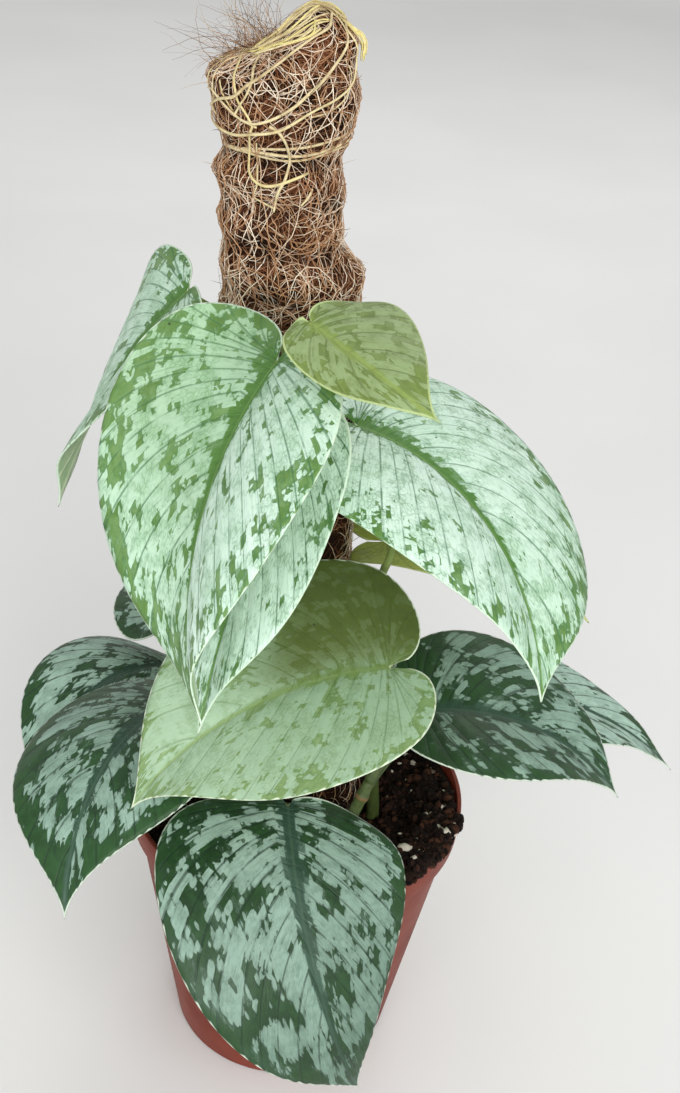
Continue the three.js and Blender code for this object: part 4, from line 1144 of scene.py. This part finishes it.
HEAPED = math.radians(-32)  # the bearing at which the soil is heaped over the rim
RIM_TOP = 125
SOIL_FOOT = 3.35
SOIL_REACH = 66.0  # how far from the middle its level is known
CRUMBS, HEAP_CRUMBS, RIM_CRUMBS = 3900, 1000, 150  # all, those on the heap, and of these those on the rim


def heap(bearing):
    return np.maximum(0, np.cos(bearing - HEAPED)) ** 2


def crest(bearing):
    """Height of the soil just inside the rim."""
    return RIM_TOP + 0.45 + 2.6 * heap(bearing)


def soil_level(x, y):
    """Height of the soil where it isn't heaped."""
    lumps = np.sin(x / 5.1 + 1.3 * np.sin(y / 6.3)) * np.cos(y / 4.7)
    lumps = lumps + 0.7 * np.sin(x / 2.9 + y / 3.7) * np.sin(y / 3.1 - x / 8)
    return SOIL_TOP + 1.56 * lumps


def soil_rise(bearing, r):
    """Height of the soil, with the heap at the front right."""
    level = soil_level(r * np.cos(bearing), r * np.sin(bearing))
    heaped = crest(bearing) + 0.4 * (level - SOIL_TOP)
    return mix(level, heaped, heap(bearing) * smooth(30, 62, r))


def soil_look():
    look = Look("potting soil", roughness=0.95, specular=0.2)
    tone, place = look.value("tone"), look.place()
    grain = look.noise(place, 0.55, 4, 0.7)
    fleck = look.cells(place, "Color", 0.9).split()[0]
    colour = look.coats("#0d0706", (grain.step(0.35, 0.65), "#22150f"), (fleck.step(0.86, 0.9, 0, 0.5), "#402a20"),
                        (tone.step(0.5, 0.9, 0, 0.85), "#4d2f21"), (tone.step(0.93, 0.97), "#d8cfc0"))
    return look.finish(colour, grain, 0.6, 0.9)


def make_soil():
    """The bed of soil, its crumbs and its fibres."""
    material = soil_look()
    sides = 200
    a = TURN * np.arange(sides) / sides
    inner = 67.2 - 0.35  # a little inside the pot's wall
    random = np.random.default_rng(41)
    climb = np.minimum(1, heap(a) / 0.85)
    lip = inner + (2.4 + 0.9 * np.sin(11 * a) + 0.6 * np.sin(23 * a + 1)) * smooth(0.86, 0.96, heap(a))
    rows = [(44.4, SOIL_FOOT), (63.6, 109.5), (inner - 0.4, 114.0), (inner, mix(116, RIM_TOP + 0.35, climb)),
            (lip, mix(116.3, RIM_TOP + 0.45, climb)), (lip - 0.8, mix(117, crest(a) - 0.4, climb))]
    rows += [(r, soil_rise(a, r) + random.normal(0, 0.35, sides)) for r in np.linspace(64, 1, 44)]
    rings = np.array([polar(r, a, z) for r, z in rows])
    points, triangles = close_rings(rings, [0, 0, SOIL_TOP], [0, 0, SOIL_FOOT])
    add_piece("soil_bed", points, triangles, {"tone": np.zeros(len(points))}, node="soil", slot="potting_soil",
              material=material)
    # Crumbs: small lumps of every size, a few pale chips and white grains of perlite.
    parts = Parts()
    golden = (1 + 5 ** 0.5) / 2
    ball = unit(np.array([(-1, golden, 0), (1, golden, 0), (-1, -golden, 0), (1, -golden, 0), (0, -1, golden),
                          (0, 1, golden), (0, -1, -golden), (0, 1, -golden), (golden, 0, -1), (golden, 0, 1),
                          (-golden, 0, -1), (-golden, 0, 1)], float))
    shell = np.array([(0, 11, 5), (0, 5, 1), (0, 1, 7), (0, 7, 10), (0, 10, 11), (1, 5, 9), (5, 11, 4), (11, 10, 2),
                      (10, 7, 6), (7, 1, 8), (3, 9, 4), (3, 4, 2), (3, 2, 6), (3, 6, 8), (3, 8, 9), (4, 9, 5),
                      (2, 4, 11), (6, 2, 10), (8, 6, 7), (9, 8, 1)])
    for k in range(CRUMBS):
        bearing = random.uniform(0, TURN)
        r = SOIL_REACH * math.sqrt(random.uniform(0.04, 1))
        size = 0.45 + 2.2 * random.beta(1.2, 4)
        if k < HEAP_CRUMBS:
            # The heap at the front right: lumps that hang over the rim there.
            bearing, r = HEAPED + random.normal(0, 0.3), random.uniform(56, 69.5)
            size *= 1.25
        if k < RIM_CRUMBS:
            bearing, r = math.radians(random.uniform(-56, -9)), random.uniform(67, 70.8)
            size = random.uniform(1.0, 2.6)
        z = float(soil_rise(bearing, min(r, SOIL_REACH)))
        if k < RIM_CRUMBS:
            z = random.uniform(124.6, 126.4) - 0.5 * max(0.0, r - 69)
        elif r > 67 and heap(bearing) < 0.86:
            continue
        stretch = size * random.uniform(0.6, 1.3, 3)
        shape = ball * random.uniform(0.75, 1.15, (12, 1)) * stretch
        tone = random.uniform(0, 0.8) if random.uniform() < 0.93 else random.uniform(0.85, 1)
        parts.add(polar(r, bearing, z + 0.3 * size) + shape, shell, tone=tone)
    parts.piece("soil_crumbs", slot="potting_soil", material=material)
    # Short peat fibres and root threads.
    count, heaped = 900, 260
    bearing = random.uniform(0, TURN, count)
    r = 67 * np.sqrt(random.uniform(0.05, 1, count))
    bearing[:heaped] = HEAPED + random.normal(0, 0.35, heaped)
    r[:heaped] = random.uniform(55, 68, heaped)
    start = polar(r, bearing, soil_rise(bearing, np.minimum(r, SOIL_REACH)) + 0.6)
    way = unit(random.normal(size=(count, 3)) * [1, 1, 0.35]) * random.uniform(2, 7, (count, 1))
    t = np.linspace(-0.5, 0.5, 5)[None, :, None]
    path = start[:, None] + way[:, None] * t + random.normal(0, 1, (count, 1, 3)) * [1, 1, 0.5] * (t ** 2) * 2
    reach = np.linalg.norm(path[..., :2], axis=-1, keepdims=True)
    path[..., :2] *= np.minimum(1, SOIL_REACH / reach) ** (reach < 68)
    points, triangles = tubes(path, np.full((count, 5), 0.14), 3)
    tone = np.repeat(random.uniform(0.3, 0.92, count), 15)
    add_piece("soil_fibres", points, triangles, {"tone": tone}, slot="potting_soil", material=material)


make_soil()

# ---------------------------------------------------------------- stake


def stake_look():
    look = Look("stake wood", roughness=0.75, specular=0.3)
    place = look.place()
    grain = look.noise(place.scaled(0.9, 0.9, 0.03), 1.0, 4, 0.6)
    rings = {"Vector": place.scaled(1, 1, 0.02), "Scale": 0.35, "Distortion": 3.0}
    rings = look.wire("ShaderNodeTexWave", rings, "Fac")
    colour = look.coats("#8d6a44", (grain.step(0.3, 0.7), "#b98f61"), (rings.step(0.3, 0.8, 0, 0.35), "#6f4f31"))
    return look.finish(colour, grain, 0.2, 0.6)


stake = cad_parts["wooden_stake"]
stake.data.materials.clear()
stake.data.materials.append(stake_look())

# ---------------------------------------------------------------- floor, light and camera

corners = np.array([(-1, -1, 0), (1, -1, 0), (1, 1, 0), (-1, 1, 0)]) * 4000 - [0, 0, 0.5]
floor = add_piece("floor", corners, [[0, 1, 2], [0, 2, 3]])
ground = Look("floor", roughness=0.9, specular=0.1)
haze = ground.noise(ground.place(), 0.004).step(0.3, 0.7)
floor.data.materials.append(ground.finish(ground.blend(haze, "#f4f4f2", "#f0f0ef")))

world = bpy.data.worlds.new("studio")
bpy.context.scene.world = world
world.use_nodes = True
world.node_tree.nodes["Background"].inputs["Color"].default_value = (1, 1, 1, 1)
world.node_tree.nodes["Background"].inputs["Strength"].default_value = 0.6


def add_light(name, place, target, size, power):
    light = bpy.data.lights.new(name, "AREA")
    light.shape, light.size, light.energy = "DISK", size, power
    lamp = bpy.data.objects.new(name, light)
    lamp.location = Vector(place)
    lamp.rotation_euler = (Vector(target) - lamp.location).to_track_quat("-Z", "Y").to_euler()
    bpy.context.scene.collection.objects.link(lamp)


add_light("key", (0.5, -1.25, 1.0), (0, 0, 0.25), 0.8, 12)
add_light("fill", (-0.45, -1.35, 0.55), (0, 0, 0.2), 1.0, 6)
add_light("back", (0.3, 1.3, 1.2), (0, 0, 0.3), 1.0, 4)

camera_data = bpy.data.cameras.new("camera")
camera_data.lens = 36 * 1500 / 1093  # sensor's height in mm, focal length and picture's height in pixels
camera = bpy.data.objects.new("camera", camera_data)
bpy.context.scene.collection.objects.link(camera)
bpy.context.scene.camera = camera
right = Vector((0.99619, 0.04619, 0.07391))
up = Vector((-0.08716, 0.52790, 0.84482))
ahead = Vector((0, 0.84805, -0.52992))
stand = Matrix.Translation(Vector((9.334, -484.370, 548.142)) * MM)
camera.matrix_world = stand @ Matrix((right, up, -ahead)).transposed().to_4x4()
bpy.context.scene.view_settings.view_transform = "Standard"
